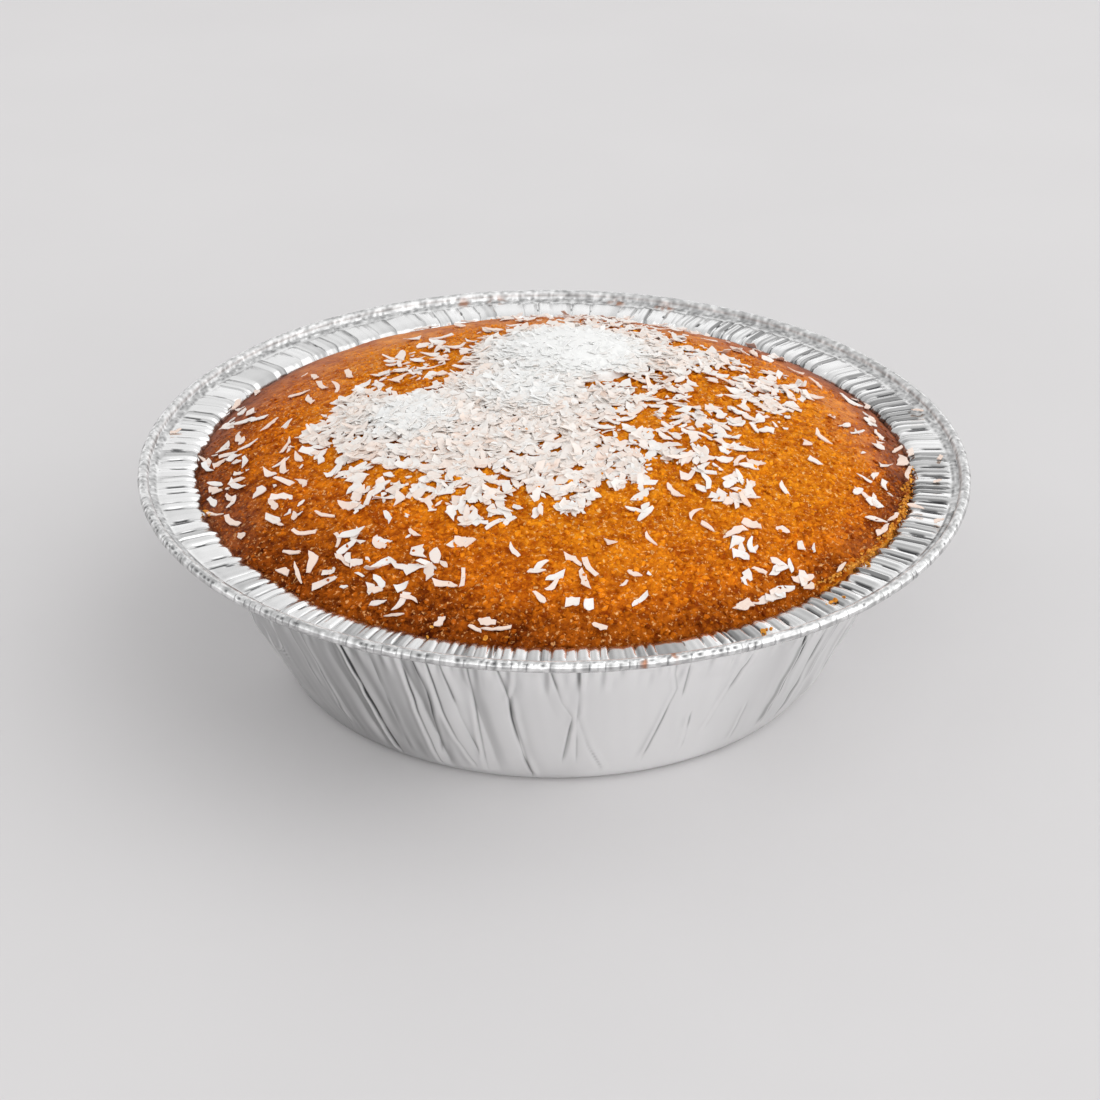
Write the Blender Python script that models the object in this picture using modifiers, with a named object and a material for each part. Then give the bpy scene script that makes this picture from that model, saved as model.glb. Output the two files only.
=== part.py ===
"""A round semolina cake, domed and browned, baked in a crimped foil tin and strewn with shredded coconut.

The origin is the middle of the tin's underside, where it stands. +Z is up and -Y is the front.
Run it with: blender --background --python part.py
"""

import math
import random

import bmesh
import bpy
from mathutils import Matrix, Vector, noise

MM = 0.001

# The foil tin. Radii and heights are of its outer side.
RIM_RADIUS = 90 * MM  # outer edge of the rolled bead
BASE_RADIUS = 59.4 * MM  # where the wall's line meets the base
WALL_TOP_RADIUS = 79.1 * MM
WALL_TOP = 43.2 * MM
BASE_ROUNDING = 2 * MM
FOIL = 0.4 * MM
BEAD_RADIUS = 1.15 * MM
BEAD_HEIGHT = 45.5 * MM  # of the bead's centre
BEAD_SIDES = 8  # of the whole round; the bead shows the outer five corners
BEAD_CORNERS = 5
FLANGE_INNER_RADIUS = 80.2 * MM
FLANGE_INNER_HEIGHT = 44.2 * MM
FLANGE_OUTER_RADIUS = 86.9 * MM
FLANGE_OUTER_HEIGHT = 44.6 * MM
TIN_STEPS = 232  # two of them make one flute
FLUTE_DEPTH = 0.4 * MM
FOLD_RISE = 0.7 * MM  # how far a pleat in the wall stands out
FOLD_COUNT = 19
FOLD_HALF_WIDTH = math.radians(3.2)
FOLD_MIDDLE = 0.55  # share of the wall's height at which a pleat has its lower bend

# The cake fills the tin to its wall's top, and its dome stands above the rim.
FIT_GAP = 0.3 * MM
CAKE_STEPS = 64
CAKE_EDGE_RADIUS = 77.5 * MM
CAKE_EDGE_HEIGHT = 42.7 * MM
CAKE_SHOULDER_HEIGHT = 41.7 * MM  # where the cake's side leaves the tin's wall
DOME_RISE = 18 * MM
DOME_POWER = 0.8  # under 1, it makes the dome's shoulder steep
DOME_RINGS = (0.99, 0.955, 0.895, 0.81, 0.7, 0.57, 0.44, 0.31, 0.17)  # shares of the edge radius
DOME_UNEVENNESS = 0.6 * MM
DOME_WAVE = 30 * MM

# The coconut: a low heap of five lobes (x, y, radius, height), and loose shreds round it.
HEAP_LOBES = (
    (3 * MM, 22 * MM, 25 * MM, 3.4 * MM),
    (-6 * MM, 0 * MM, 20 * MM, 2.0 * MM),
    (-30 * MM, -9 * MM, 17 * MM, 1.6 * MM),
    (-6 * MM, -22 * MM, 18 * MM, 1.0 * MM),
    (34 * MM, 12 * MM, 15 * MM, 0.6 * MM),
)
HEAP_SHREDS = 76
LOOSE_SHREDS = 98
LOOSE_SPREAD = 36 * MM
LOOSE_EVENLY = 0.6  # share of the loose shreds that lies evenly over the whole dome
PLACE_TRIES = 4  # places drawn for each shred, of which the emptiest is taken
SHRED_LENGTH = (4.6 * MM, 8.4 * MM)
SHRED_WIDTH = (1.3 * MM, 2.3 * MM)
SHRED_THICKNESS = 0.6 * MM
SHRED_CURL = 0.8 * MM
SHRED_SINK = 0.05 * MM  # depth of a shred's middle in the crust
SHRED_TILT = math.radians(13)
SHRED_REACH = 71 * MM  # no shred's middle lies further out
SEED = 7

SHARP_ANGLE = math.radians(35)  # edges under it are shaded smooth


def clear_scene():
    for obj in list(bpy.data.objects):
        bpy.data.objects.remove(obj)


def collection(name):
    made = bpy.data.collections.new(name)
    bpy.context.scene.collection.children.link(made)
    return made


def material(name, colour, roughness, metallic=0.0):
    made = bpy.data.materials.new(name)
    made.use_nodes = True
    shader = made.node_tree.nodes["Principled BSDF"]
    shader.inputs["Base Color"].default_value = (*colour, 1)
    shader.inputs["Roughness"].default_value = roughness
    shader.inputs["Metallic"].default_value = metallic
    return made


def lerp(a, b, share):
    return a + (b - a) * share


def smooth_step(share):
    share = min(1.0, max(0.0, share))
    return share * share * (3 - 2 * share)


def turned(name, profile, steps, into):
    """A mesh object made by turning a profile of (radius, height) points about Z. Both its ends lie on Z."""
    bm = bmesh.new()
    points = [bm.verts.new((radius, 0, height)) for radius, height in profile]
    for start, end in zip(points, points[1:]):
        bm.edges.new((start, end))
    mesh = bpy.data.meshes.new(name)
    bm.to_mesh(mesh)
    bm.free()
    obj = bpy.data.objects.new(name, mesh)
    into.objects.link(obj)
    screw = obj.modifiers.new("Turn", "SCREW")
    screw.steps = steps
    screw.render_steps = steps
    screw.use_merge_vertices = True
    screw.merge_threshold = 0.01 * MM
    apply_modifiers(obj)
    return obj


def apply_modifiers(obj):
    bpy.context.view_layer.update()
    evaluated = obj.evaluated_get(bpy.context.evaluated_depsgraph_get())
    mesh = bpy.data.meshes.new_from_object(evaluated)
    obj.modifiers.clear()
    obj.data = mesh


def shade(obj):
    obj.data.shade_smooth()
    obj.data.set_sharp_from_angle(angle=SHARP_ANGLE)


# ---------------------------------------------------------------- the foil tin


def wall_radius(height):
    """Outer radius of the tin's straight wall at a height."""
    return lerp(BASE_RADIUS, WALL_TOP_RADIUS, height / WALL_TOP)


def tin_profile():
    """The foil's section: out along the base, up its inner side, round the bead, and down its outer side."""
    bead_centre = RIM_RADIUS - BEAD_RADIUS
    bead = []
    for side in range(BEAD_CORNERS):
        angle = math.pi / 2 - side * 2 * math.pi / BEAD_SIDES
        across, up = BEAD_RADIUS * math.cos(angle), BEAD_RADIUS * math.sin(angle)
        bead.append((bead_centre + across, BEAD_HEIGHT + up))
    middle = WALL_TOP * FOLD_MIDDLE
    outer = [
        (FLANGE_INNER_RADIUS, FLANGE_INNER_HEIGHT),
        (WALL_TOP_RADIUS, WALL_TOP),
        (wall_radius(middle), middle),
        (wall_radius(BASE_ROUNDING), BASE_ROUNDING),
        (BASE_RADIUS - BASE_ROUNDING, 0),
        (0, 0),
    ]
    inner = [
        (0, FOIL),
        (BASE_RADIUS - BASE_ROUNDING - FOIL / 2, FOIL),
        (wall_radius(BASE_ROUNDING) - FOIL, BASE_ROUNDING + FOIL / 2),
        (WALL_TOP_RADIUS - FOIL, WALL_TOP + FOIL / 2),
        (FLANGE_INNER_RADIUS - FOIL / 2, FLANGE_INNER_HEIGHT + FOIL),
        (FLANGE_OUTER_RADIUS, FLANGE_OUTER_HEIGHT + FOIL),
    ]
    return inner + bead + outer


def crimp(mesh):
    """Presses flutes, crest and valley by turns, into the flange. Raises pleats on the wall's outer face."""
    draw = random.Random(SEED)
    flutes = [(-1) ** step * draw.uniform(0.55, 1.0) for step in range(TIN_STEPS)]
    pleats = [
        ((number + draw.uniform(-0.3, 0.3)) * 2 * math.pi / FOLD_COUNT, draw.uniform(0.4, 1.0))
        for number in range(FOLD_COUNT)
    ]

    def pleat(angle):
        """How far the nearest pleat stands out here, from 0 to 1."""
        risen = 0.0
        for middle, rise in pleats:
            away = abs((angle - middle + math.pi) % (2 * math.pi) - math.pi)
            risen = max(risen, rise * (1 - away / FOLD_HALF_WIDTH))
        return risen

    flange_end = RIM_RADIUS - 2 * BEAD_RADIUS
    for vertex in mesh.vertices:
        radius = math.hypot(vertex.co.x, vertex.co.y)
        height = vertex.co.z
        if radius < BASE_RADIUS - BASE_ROUNDING / 2 or radius > flange_end:
            continue
        angle = math.atan2(vertex.co.y, vertex.co.x)
        flute = FLUTE_DEPTH * flutes[round(angle / (2 * math.pi) * TIN_STEPS) % TIN_STEPS]
        outward = Vector((vertex.co.x, vertex.co.y, 0)) / radius
        on_outer_face = radius > wall_radius(height) - FOIL / 2
        if height > WALL_TOP + FOIL:
            outer_share = smooth_step((radius - FLANGE_INNER_RADIUS) / (flange_end - FLANGE_INNER_RADIUS))
            vertex.co.z += flute * (1 - outer_share / 2)
            continue
        if height > WALL_TOP - FOIL:
            vertex.co += outward * flute / 2
        if on_outer_face:
            vertex.co += outward * FOLD_RISE * smooth_step(height / WALL_TOP) * pleat(angle)


def make_tin(into):
    tin = turned("foil_tin", tin_profile(), TIN_STEPS, into)
    crimp(tin.data)
    tin.data.materials.append(material("foil", (0.80, 0.81, 0.82), 0.28, 1.0))
    shade(tin)
    return tin


# ---------------------------------------------------------------- the cake and its coconut


def heap_height(x, y):
    """Height of the coconut heap above the crust."""
    height = 0.0
    for lobe_x, lobe_y, radius, rise in HEAP_LOBES:
        away = math.hypot(x - lobe_x, y - lobe_y) / radius
        height = max(height, rise * smooth_step(1.25 * (1 - away)))
    return height


def dome_height(x, y):
    """Height of the cake's crust above the table, without the heap."""
    share = min(1.0, math.hypot(x, y) / CAKE_EDGE_RADIUS)
    rise = DOME_RISE * (1 - share * share) ** DOME_POWER
    wave = noise.noise(Vector((x, y, 0)) / DOME_WAVE) * DOME_UNEVENNESS * (1 - share**4)
    return CAKE_EDGE_HEIGHT + rise + wave


def surface_height(x, y):
    return dome_height(x, y) + heap_height(x, y)


def surface_normal(x, y):
    step = 1 * MM
    slope_x = (surface_height(x + step, y) - surface_height(x - step, y)) / (2 * step)
    slope_y = (surface_height(x, y + step) - surface_height(x, y - step)) / (2 * step)
    return Vector((-slope_x, -slope_y, 1)).normalized()


def cake_profile():
    """The cake's section: down from the dome's middle, down its wall, and in along its underside."""
    inset = FOIL + FIT_GAP  # of the cake from the tin's outer side
    dome = [(0, CAKE_EDGE_HEIGHT + DOME_RISE)]
    for share in reversed(DOME_RINGS):
        dome.append((CAKE_EDGE_RADIUS * share, CAKE_EDGE_HEIGHT))
    return dome + [
        (CAKE_EDGE_RADIUS, CAKE_EDGE_HEIGHT),
        (CAKE_EDGE_RADIUS, CAKE_SHOULDER_HEIGHT),
        (wall_radius(BASE_ROUNDING) - inset, BASE_ROUNDING + inset),
        (BASE_RADIUS - BASE_ROUNDING - inset, inset),
        (0, inset),
    ]


def make_cake_core(into):
    core = turned("cake", cake_profile(), CAKE_STEPS, into)
    for vertex in core.data.vertices:
        radius = math.hypot(vertex.co.x, vertex.co.y)
        if vertex.co.z > CAKE_EDGE_HEIGHT - 0.01 * MM and radius < CAKE_EDGE_RADIUS * 0.999:
            vertex.co.z = surface_height(vertex.co.x, vertex.co.y)
    return core


def shred_mesh(name, length, width, curl, draw):
    """A strip of coconut, flat along X, with narrowed ends that curl up."""
    bm = bmesh.new()
    bmesh.ops.create_cube(bm, size=1)
    along = [edge for edge in bm.edges if abs(edge.verts[0].co.x - edge.verts[1].co.x) > 0.5]
    bmesh.ops.subdivide_edges(bm, edges=along, cuts=1)
    narrow = {-1: draw.uniform(0.45, 0.9), 1: draw.uniform(0.45, 0.9)}
    bow = draw.uniform(-0.12, 0.12) * length
    for vertex in bm.verts:
        end = round(2 * vertex.co.x)
        taper = narrow.get(end, 1.0)
        vertex.co = Vector(
            (
                vertex.co.x * length,
                vertex.co.y * width * taper + bow * abs(end),
                vertex.co.z * SHRED_THICKNESS + curl * abs(end),
            )
        )
    bmesh.ops.triangulate(bm, faces=bm.faces)
    mesh = bpy.data.meshes.new(name)
    bm.to_mesh(mesh)
    bm.free()
    return mesh


def room_round(place, taken):
    """Distance from a place to the nearest one that is taken."""
    return min((math.dist(place, other) for other in taken), default=0.0)


def scatter(count, pick, taken, draw):
    """Places for shreds, as (x, y). Each is the emptiest of a few that are drawn."""
    found = []
    for _ in range(count):
        places = []
        while len(places) < PLACE_TRIES:
            place = pick(draw)
            if math.hypot(*place) < SHRED_REACH:
                places.append(place)
        others = taken + found
        found.append(max(places, key=lambda place: room_round(place, others)))
    return found


def pick_in_heap(draw):
    lobe_x, lobe_y, radius, _ = draw.choices(HEAP_LOBES, weights=[lobe[2] ** 2 for lobe in HEAP_LOBES])[0]
    angle = draw.uniform(0, 2 * math.pi)
    away = radius * math.sqrt(draw.random()) * 0.9
    return lobe_x + away * math.cos(angle), lobe_y + away * math.sin(angle)


def pick_loose(draw):
    if draw.random() < LOOSE_EVENLY:
        angle = draw.uniform(0, 2 * math.pi)
        away = SHRED_REACH * math.sqrt(draw.random())
        return away * math.cos(angle), away * math.sin(angle)
    return draw.gauss(0, LOOSE_SPREAD), draw.gauss(0, LOOSE_SPREAD)


def make_shred(number, x, y, into, coconut, draw):
    length = draw.uniform(*SHRED_LENGTH)
    width = draw.uniform(*SHRED_WIDTH)
    curl = SHRED_CURL * draw.uniform(0.5, 1.0)
    shred = bpy.data.objects.new(f"shred_{number}", shred_mesh(f"shred_{number}", length, width, curl, draw))
    into.objects.link(shred)
    shred.data.materials.append(coconut)
    normal = surface_normal(x, y)
    seat = Vector((x, y, surface_height(x, y))) + normal * (SHRED_THICKNESS / 2 - SHRED_SINK)
    turn = Matrix.Rotation(draw.uniform(0, 2 * math.pi), 4, "Z")
    tilt = Matrix.Rotation(draw.uniform(-SHRED_TILT, SHRED_TILT), 4, "X")
    lean = normal.to_track_quat("Z", "Y").to_matrix().to_4x4()
    shred.matrix_world = Matrix.Translation(seat) @ lean @ turn @ tilt


def keep_largest_shell(obj):
    """Drops loose scraps, and the inner faces of any hollow that fusing has sealed."""
    bm = bmesh.new()
    bm.from_mesh(obj.data)
    left = set(bm.verts)
    shells = []
    while left:
        shell = {left.pop()}
        front = list(shell)
        while front:
            vertex = front.pop()
            for edge in vertex.link_edges:
                other = edge.other_vert(vertex)
                if other not in shell:
                    shell.add(other)
                    front.append(other)
        left -= shell
        shells.append(shell)
    largest = max(shells, key=len)
    bmesh.ops.delete(bm, geom=[v for v in bm.verts if v not in largest], context="VERTS")
    bm.to_mesh(obj.data)
    bm.free()


def make_cake(into):
    coconut = material("coconut", (0.88, 0.86, 0.82), 0.55)
    cake = make_cake_core(into)
    cake.data.materials.append(material("crust", (0.56, 0.22, 0.045), 0.6))
    draw = random.Random(SEED)
    shreds = collection("shreds")
    in_heap = scatter(HEAP_SHREDS, pick_in_heap, [], draw)
    loose = scatter(LOOSE_SHREDS, pick_loose, in_heap, draw)
    for number, (x, y) in enumerate(in_heap + loose):
        make_shred(number, x, y, shreds, coconut, draw)
    fuse = cake.modifiers.new("Fuse", "BOOLEAN")
    fuse.operation = "UNION"
    fuse.operand_type = "COLLECTION"
    fuse.collection = shreds
    fuse.solver = "EXACT"
    fuse.material_mode = "TRANSFER"
    apply_modifiers(cake)
    for shred in list(shreds.objects):
        bpy.data.objects.remove(shred)
    bpy.data.collections.remove(shreds)
    keep_largest_shell(cake)
    shade(cake)
    return cake


def main():
    clear_scene()
    parts = collection("basbousa")
    make_tin(parts)
    make_cake(parts)


main()
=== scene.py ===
"""The looks of a semolina cake in its crimped foil tin, strewn with shredded coconut.

Lengths are in metres. +Z is up, -Y is the front, and the origin is the middle of the tin's underside.
"""

import math
import random

import bpy
import numpy as np
from mathutils import Matrix, Vector


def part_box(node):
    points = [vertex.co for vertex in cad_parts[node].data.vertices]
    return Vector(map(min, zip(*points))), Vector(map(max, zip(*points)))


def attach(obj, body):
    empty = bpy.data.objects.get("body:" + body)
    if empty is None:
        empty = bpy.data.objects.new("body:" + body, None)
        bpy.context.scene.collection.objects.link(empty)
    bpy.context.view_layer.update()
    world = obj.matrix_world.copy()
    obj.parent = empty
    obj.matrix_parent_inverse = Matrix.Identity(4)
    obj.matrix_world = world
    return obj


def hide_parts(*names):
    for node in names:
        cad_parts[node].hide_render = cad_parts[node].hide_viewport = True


MM = 0.001
TURN = 2 * math.pi
SEED = 11

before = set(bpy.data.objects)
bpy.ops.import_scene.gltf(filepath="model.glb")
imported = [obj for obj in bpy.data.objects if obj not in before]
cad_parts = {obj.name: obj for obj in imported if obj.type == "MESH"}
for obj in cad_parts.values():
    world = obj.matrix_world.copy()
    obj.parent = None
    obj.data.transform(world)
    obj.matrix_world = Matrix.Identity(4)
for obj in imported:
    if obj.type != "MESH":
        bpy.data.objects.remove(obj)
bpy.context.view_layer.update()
_, tin_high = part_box("foil_tin")
_, cake_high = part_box("cake")

# ------------ sizes

RIM_RADIUS = tin_high.x
RIM_TOP = tin_high.z
BEAD_RADIUS = 1.15 * MM
BEAD_MIDDLE = RIM_RADIUS - BEAD_RADIUS
BEAD_HEIGHT = RIM_TOP - BEAD_RADIUS

BASE_RADIUS = 59.4 * MM  # where the wall's line meets the base
BASE_ROUNDING = 2 * MM
WALL_TOP_RADIUS = 79.1 * MM
WALL_TOP = 43.2 * MM
FOIL = 0.3 * MM
INNER_DEPTH = 2.2 * MM  # how far the wall's inner side, hidden by the cake, lies inside its creased face
FLANGE_HEIGHT = 44.5 * MM
FLANGE_INNER = 80.4 * MM  # where the flange starts to turn down into the wall
FLUTES_END = 86.2 * MM  # a narrow ring parts the flutes from the bead
RING_HEIGHT = 44.75 * MM
GROOVE_RADIUS = 87.5 * MM
WALL_COLUMNS = 1850
RIM_COLUMNS = 2560

CAKE_RADIUS = cake_high.x
CAKE_EDGE_HEIGHT = 42.7 * MM
DOME_RISE = 18 * MM
DOME_POWER = 0.8
CAKE_GRID = 240  # points along each side of the grid that is wrapped to the dome

# The photograph's camera, as a real one: a lens on a 36 mm wide sensor.
LENS = 85
CAMERA_DISTANCE = 6.297 * RIM_RADIUS
CAMERA_ELEVATION = math.radians(26.61)
CAMERA_DIP = math.radians(2.10)  # it looks a little under the rim's middle
CAMERA_PAN = math.radians(0.09)
CAMERA_ROLL = math.radians(0.35)


# ------------ noise for shapes


def smooth(share):
    share = np.clip(share, 0.0, 1.0)
    return share * share * (3 - 2 * share)


def drawn(i, j, seed):
    """A number from 0 to 1 for each whole-numbered cell, the same at every run."""
    mixed = i.astype(np.int64) * 374761393 + j.astype(np.int64) * 668265263 + seed * 974634777
    mixed = (mixed ^ (mixed >> 13)) & 0xFFFFFFFF
    mixed = (mixed * 1274126177) & 0xFFFFFFFF
    return ((mixed ^ (mixed >> 16)) & 0xFFFFFF) / 0x1000000


def waves(x, y, size, seed, octaves=1):
    """Smooth noise from about -1 to 1, whose features have the given size. Each octave halves both."""
    total = np.zeros(np.broadcast(x, y).shape)
    for octave in range(octaves):
        u, v = x / size * 2**octave, y / size * 2**octave
        i, j = np.floor(u), np.floor(v)
        s, t = smooth(u - i), smooth(v - j)
        low = drawn(i, j, seed + octave) * (1 - s) + drawn(i + 1, j, seed + octave) * s
        high = drawn(i, j + 1, seed + octave) * (1 - s) + drawn(i + 1, j + 1, seed + octave) * s
        total += (low * (1 - t) + high * t - 0.5) * 2 / 2**octave
    return total


def grains(x, y, size, seed):
    """Packed grains: distance to the nearest and the next grain's middle, in sizes, and its own number."""
    u, v = x / size, y / size
    i, j = np.floor(u), np.floor(v)
    nearest, second, own = np.full(u.shape, 9.0), np.full(u.shape, 9.0), np.zeros(u.shape)
    for step_i in (-1, 0, 1):
        for step_j in (-1, 0, 1):
            ci, cj = i + step_i, j + step_j
            away = np.hypot(ci + drawn(ci, cj, seed) - u, cj + drawn(ci, cj, seed + 1) - v)
            closer = away < nearest
            second = np.where(closer, nearest, np.minimum(second, away))
            own = np.where(closer, drawn(ci, cj, seed + 2), own)
            nearest = np.where(closer, away, nearest)
    return nearest, second, own


# ------------ meshes and materials


def add_object(name, data):
    made = bpy.data.objects.new(name, data)
    bpy.context.scene.collection.objects.link(made)
    return made


def mesh_object(name, points, faces, material, attributes, sharp_angle=None):
    """A smooth-shaded piece from points and faces. Each attribute has a number for each point."""
    mesh = bpy.data.meshes.new(name)
    mesh.from_pydata(points.reshape(-1, 3).tolist(), [], faces)
    mesh.update()
    for key, values in attributes.items():
        layer = mesh.attributes.new(key, "FLOAT", "POINT")
        layer.data.foreach_set("value", np.asarray(values, np.float32).ravel())
    mesh.materials.append(material)
    mesh.shade_smooth()
    if sharp_angle is not None:
        mesh.set_sharp_from_angle(angle=sharp_angle)
    return add_object(name, mesh)


def piece(made, slot, *nodes):
    """Makes an object part of the model, standing for the named solids."""
    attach(made, "root")
    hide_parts(*nodes)


def ring_faces(rows, columns):
    """Quads between closed rings of points that follow each other, rows of them."""
    quads = []
    index = np.arange(rows * columns).reshape(rows, columns)
    beside = np.roll(index, -1, axis=1)
    for lower, upper, lower_beside, upper_beside in zip(index, index[1:], beside, beside[1:]):
        quads.extend(np.stack([lower, lower_beside, upper_beside, upper], axis=1).tolist())
    return quads


def fan_faces(ring, pole, turned):
    """Triangles between a closed ring of points and a single one."""
    pairs = zip(ring, ring[1:] + ring[:1])
    return [(b, a, pole) if turned else (a, b, pole) for a, b in pairs]


def fill(tree, made, inputs):
    """Sets a node's inputs, each to a value or to another node's output."""
    for key, value in inputs.items():
        if isinstance(value, bpy.types.NodeSocket):
            tree.links.new(value, made.inputs[key])
        else:
            made.inputs[key].default_value = value


def node(tree, kind, inputs=None, **settings):
    """Adds a shader node, with its settings and inputs."""
    made = tree.nodes.new("ShaderNode" + kind)
    for key, value in settings.items():
        setattr(made, key, value)
    fill(tree, made, inputs or {})
    return made


def math_node(tree, operation, *values, clamp=False):
    return node(tree, "Math", dict(enumerate(values)), operation=operation, use_clamp=clamp).outputs[0]


def linear(tree, value, slope, start, clamp=False):
    return math_node(tree, "MULTIPLY_ADD", value, slope, start, clamp=clamp)


def times(tree, first, second):
    return math_node(tree, "MULTIPLY", first, second)


def noise(tree, place, scale, detail, roughness=0.5):
    inputs = {"Vector": place, "Scale": scale, "Detail": detail, "Roughness": roughness}
    return node(tree, "TexNoise", inputs).outputs["Fac"]


def bumped(tree, height, strength, distance):
    inputs = {"Height": height, "Strength": strength, "Distance": distance}
    return node(tree, "Bump", inputs).outputs["Normal"]


def cell_number(tree, cells):
    """A number from 0 to 1 for each cell of a cell texture."""
    return node(tree, "SeparateXYZ", {0: cells.outputs["Color"]}).outputs["X"]


def ramp(tree, share, *stops):
    """A colour ramp through stops of (place, colour)."""
    made = node(tree, "ValToRGB", {"Fac": share})
    elements = made.color_ramp.elements
    while len(elements) < len(stops):
        elements.new(0.5)
    for element, (place, colour) in zip(elements, stops):
        element.position = place
        element.color = (*colour, 1)
    return made.outputs["Color"]


def grey_ramp(tree, share, *stops):
    return ramp(tree, share, *((place, (value,) * 3) for place, value in stops))


def mixed(tree, share, first, second):
    """Two colours mixed. The mix node's colour sockets have no names of their own, but these numbers."""
    if isinstance(second, tuple):
        second = (*second, 1)
    return node(tree, "Mix", {0: share, 6: first, 7: second}, data_type="RGBA").outputs[2]


def new_material(name):
    """A material, its node tree and its principled shader."""
    made = bpy.data.materials.new(name)
    made.use_nodes = True
    return made, made.node_tree, made.node_tree.nodes["Principled BSDF"]


def attribute(tree, name):
    return node(tree, "Attribute", attribute_name=name).outputs["Fac"]


def object_place(tree):
    return node(tree, "TexCoord").outputs["Object"]


def connect(tree, shader, **inputs):
    """Fills a shader's inputs, named with _ for each space."""
    fill(tree, shader, {key.replace("_", " "): value for key, value in inputs.items()})


def let_light_in(tree, shader, weight, radius, scale):
    connect(tree, shader, Subsurface_Weight=weight, Subsurface_Radius=radius, Subsurface_Scale=scale)


# ------------ the foil tin

# Zones round the rim, from an angle in degrees on: the flutes' pitch in degrees; the widths and lengths of
# the slots between them, painted dark as shade, in mm; the share of flutes that have a slot; and the shade
# painted on the flutes there, below 0 for a painted highlight.
FLUTE_ZONES = (
    (0, (1.4, 2.2), (0.55, 0.90), (3.5, 6.5), 0.95, 0.15),
    (26, (1.7, 3.0), (0.40, 0.60), (1.5, 3.0), 0.25, -0.55),
    (75, (1.8, 3.4), (0.25, 0.40), (1.0, 2.5), 0.40, -0.15),
    (118, (2.4, 4.6), (0.30, 0.45), (1.5, 4.0), 0.60, 0.00),
    (160, (1.5, 3.0), (0.80, 1.15), (2.5, 5.5), 0.95, 0.10),
    (215, (1.2, 2.6), (0.45, 0.80), (1.5, 5.0), 0.85, 0.25),
    (240, (0.7, 2.2), (0.15, 0.30), (1.0, 4.5), 0.60, 0.40),
    (296, (1.6, 2.8), (0.45, 0.70), (2.5, 6.0), 0.85, 0.20),
    (316, (1.4, 2.2), (0.55, 0.90), (3.5, 6.5), 0.95, 0.15),
)
WIDE_FLUTES = 0.12  # the share of flutes that are much wider than their neighbours
FLUTE_RISE = (0.15 * MM, 0.50 * MM)
FLUTE_RUN = (1.5 * MM, 8 * MM)  # how far down the wall a flute goes on
FLUTE_REACH = 1.1 * MM  # how far a flute's inner end leans over the cake
SLOT_DEPTH = 0.3 * MM

# The bead's points, as degrees round its section: 0 is outward, 90 is up.
BEAD_TURNS = (-152, -115, -80, -50, -25, 0, 20, 36, 50, 64, 78, 92, 108, 126, 146, 168)
CRIMP_DEPTH = 0.16 * MM
CRIMPED_MIDDLE = math.radians(-112)  # the bead is crimped most round here
CRIMPED_HALF = math.radians(52)
FRONT = -90  # an angle round the tin in degrees, as the next one is
FLANK_SHADE_MIDDLE = 50  # the shade and highlight painted on the flutes' flanks are strongest here

# Stains that the syrup has left on the rim: angle in degrees, radius and length in mm.
STAINS = (
    (105, 86.7, 1.5), (99.5, 86.7, 2.2), (80, 86.5, 2.0), (72, 86.6, 2.4),
    (-79, 89.6, 0.7), (-75, 88.9, 0.9),
)

# The creases that the front of the wall shows: depth, width, and the places (degrees, height) they pass.
FRONT_CREASES = (
    (0.8, 0.33, ((-133.9, 31), (-133.5, 24), (-133.6, 6))),
    (1.1, 0.36, ((-124.6, 42), (-123.0, 27), (-122.4, 20), (-121.0, 3))),
    (0.3, 1.6, ((-118.6, 36), (-117.8, 6))),
    (0.45, 0.36, ((-113.3, 42), (-112.8, 20), (-111.5, 3))),
    (0.5, 0.33, ((-110.9, 40), (-109.8, 28), (-110.1, 18), (-110.5, 9))),
    (0.4, 0.36, ((-108.6, 42), (-108.0, 23), (-106.6, 14), (-104.2, 6))),
    (0.35, 0.36, ((-107.0, 42), (-105.3, 22), (-103.2, 11))),
    (0.4, 0.43, ((-102.6, 42), (-102.1, 5))),
    (0.6, 0.33, ((-98.4, 40), (-96.8, 28), (-96.6, 22), (-95.4, 11), (-93.8, 2))),
    (0.35, 0.50, ((-95.3, 41), (-95.6, 33), (-96.6, 28))),
    (0.35, 0.36, ((-90.4, 38), (-88.6, 27), (-86.8, 22), (-88.2, 8))),
    (0.45, 0.33, ((-86.9, 41), (-86.0, 30), (-86.0, 22), (-83.8, 12), (-80.8, 4))),
    (0.25, 0.50, ((-86.0, 22), (-85.6, 8))),
    (0.5, 0.33, ((-71.7, 39), (-71.2, 33), (-70.1, 28), (-71.0, 18), (-72.9, 6))),
    (0.3, 0.33, ((-69.2, 35), (-68.7, 26))),
    (0.4, 0.33, ((-65.7, 18), (-65.1, 8))),
    (0.4, 0.33, ((-61.9, 36), (-61.6, 33))),
    (0.3, 0.43, ((-58.9, 36), (-59.6, 25), (-61.6, 12))),
    (0.25, 0.50, ((-57.6, 35), (-59.6, 24))),
    (0.25, 0.65, ((-53.6, 16), (-53.0, 5))),
    (0.6, 0.33, ((-47.2, 37), (-46.6, 30))),
    (1.0, 0.34, ((-45.7, 31), (-45.2, 20), (-44.9, 6))),
    (0.35, 0.43, ((-40.5, 34), (-39.6, 4))),
    (0.35, 0.43, ((-36.8, 38), (-36.2, 14))),
)
# Where the wall bends softly: middle and half width in degrees, and how strongly.
BENT_ZONES = ((-118, 20, 1.0), (-92, 8, 0.4), (-66, 18, 0.15), (-42, 8, 0.5))
FRONT_END = -32  # degrees; the rest of the wall, round to the first crease, is creased by chance
FRONT_START = -138
CREASE_SPACING = (2.5, 8.5)
FORK_CHANCE = 0.25
GUIDE_GAP = math.radians(0.7)


def between(angle, middle):
    """Angle measured from a middle one, from minus to plus half a turn."""
    return (angle - middle + math.pi) % TURN - math.pi


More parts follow.
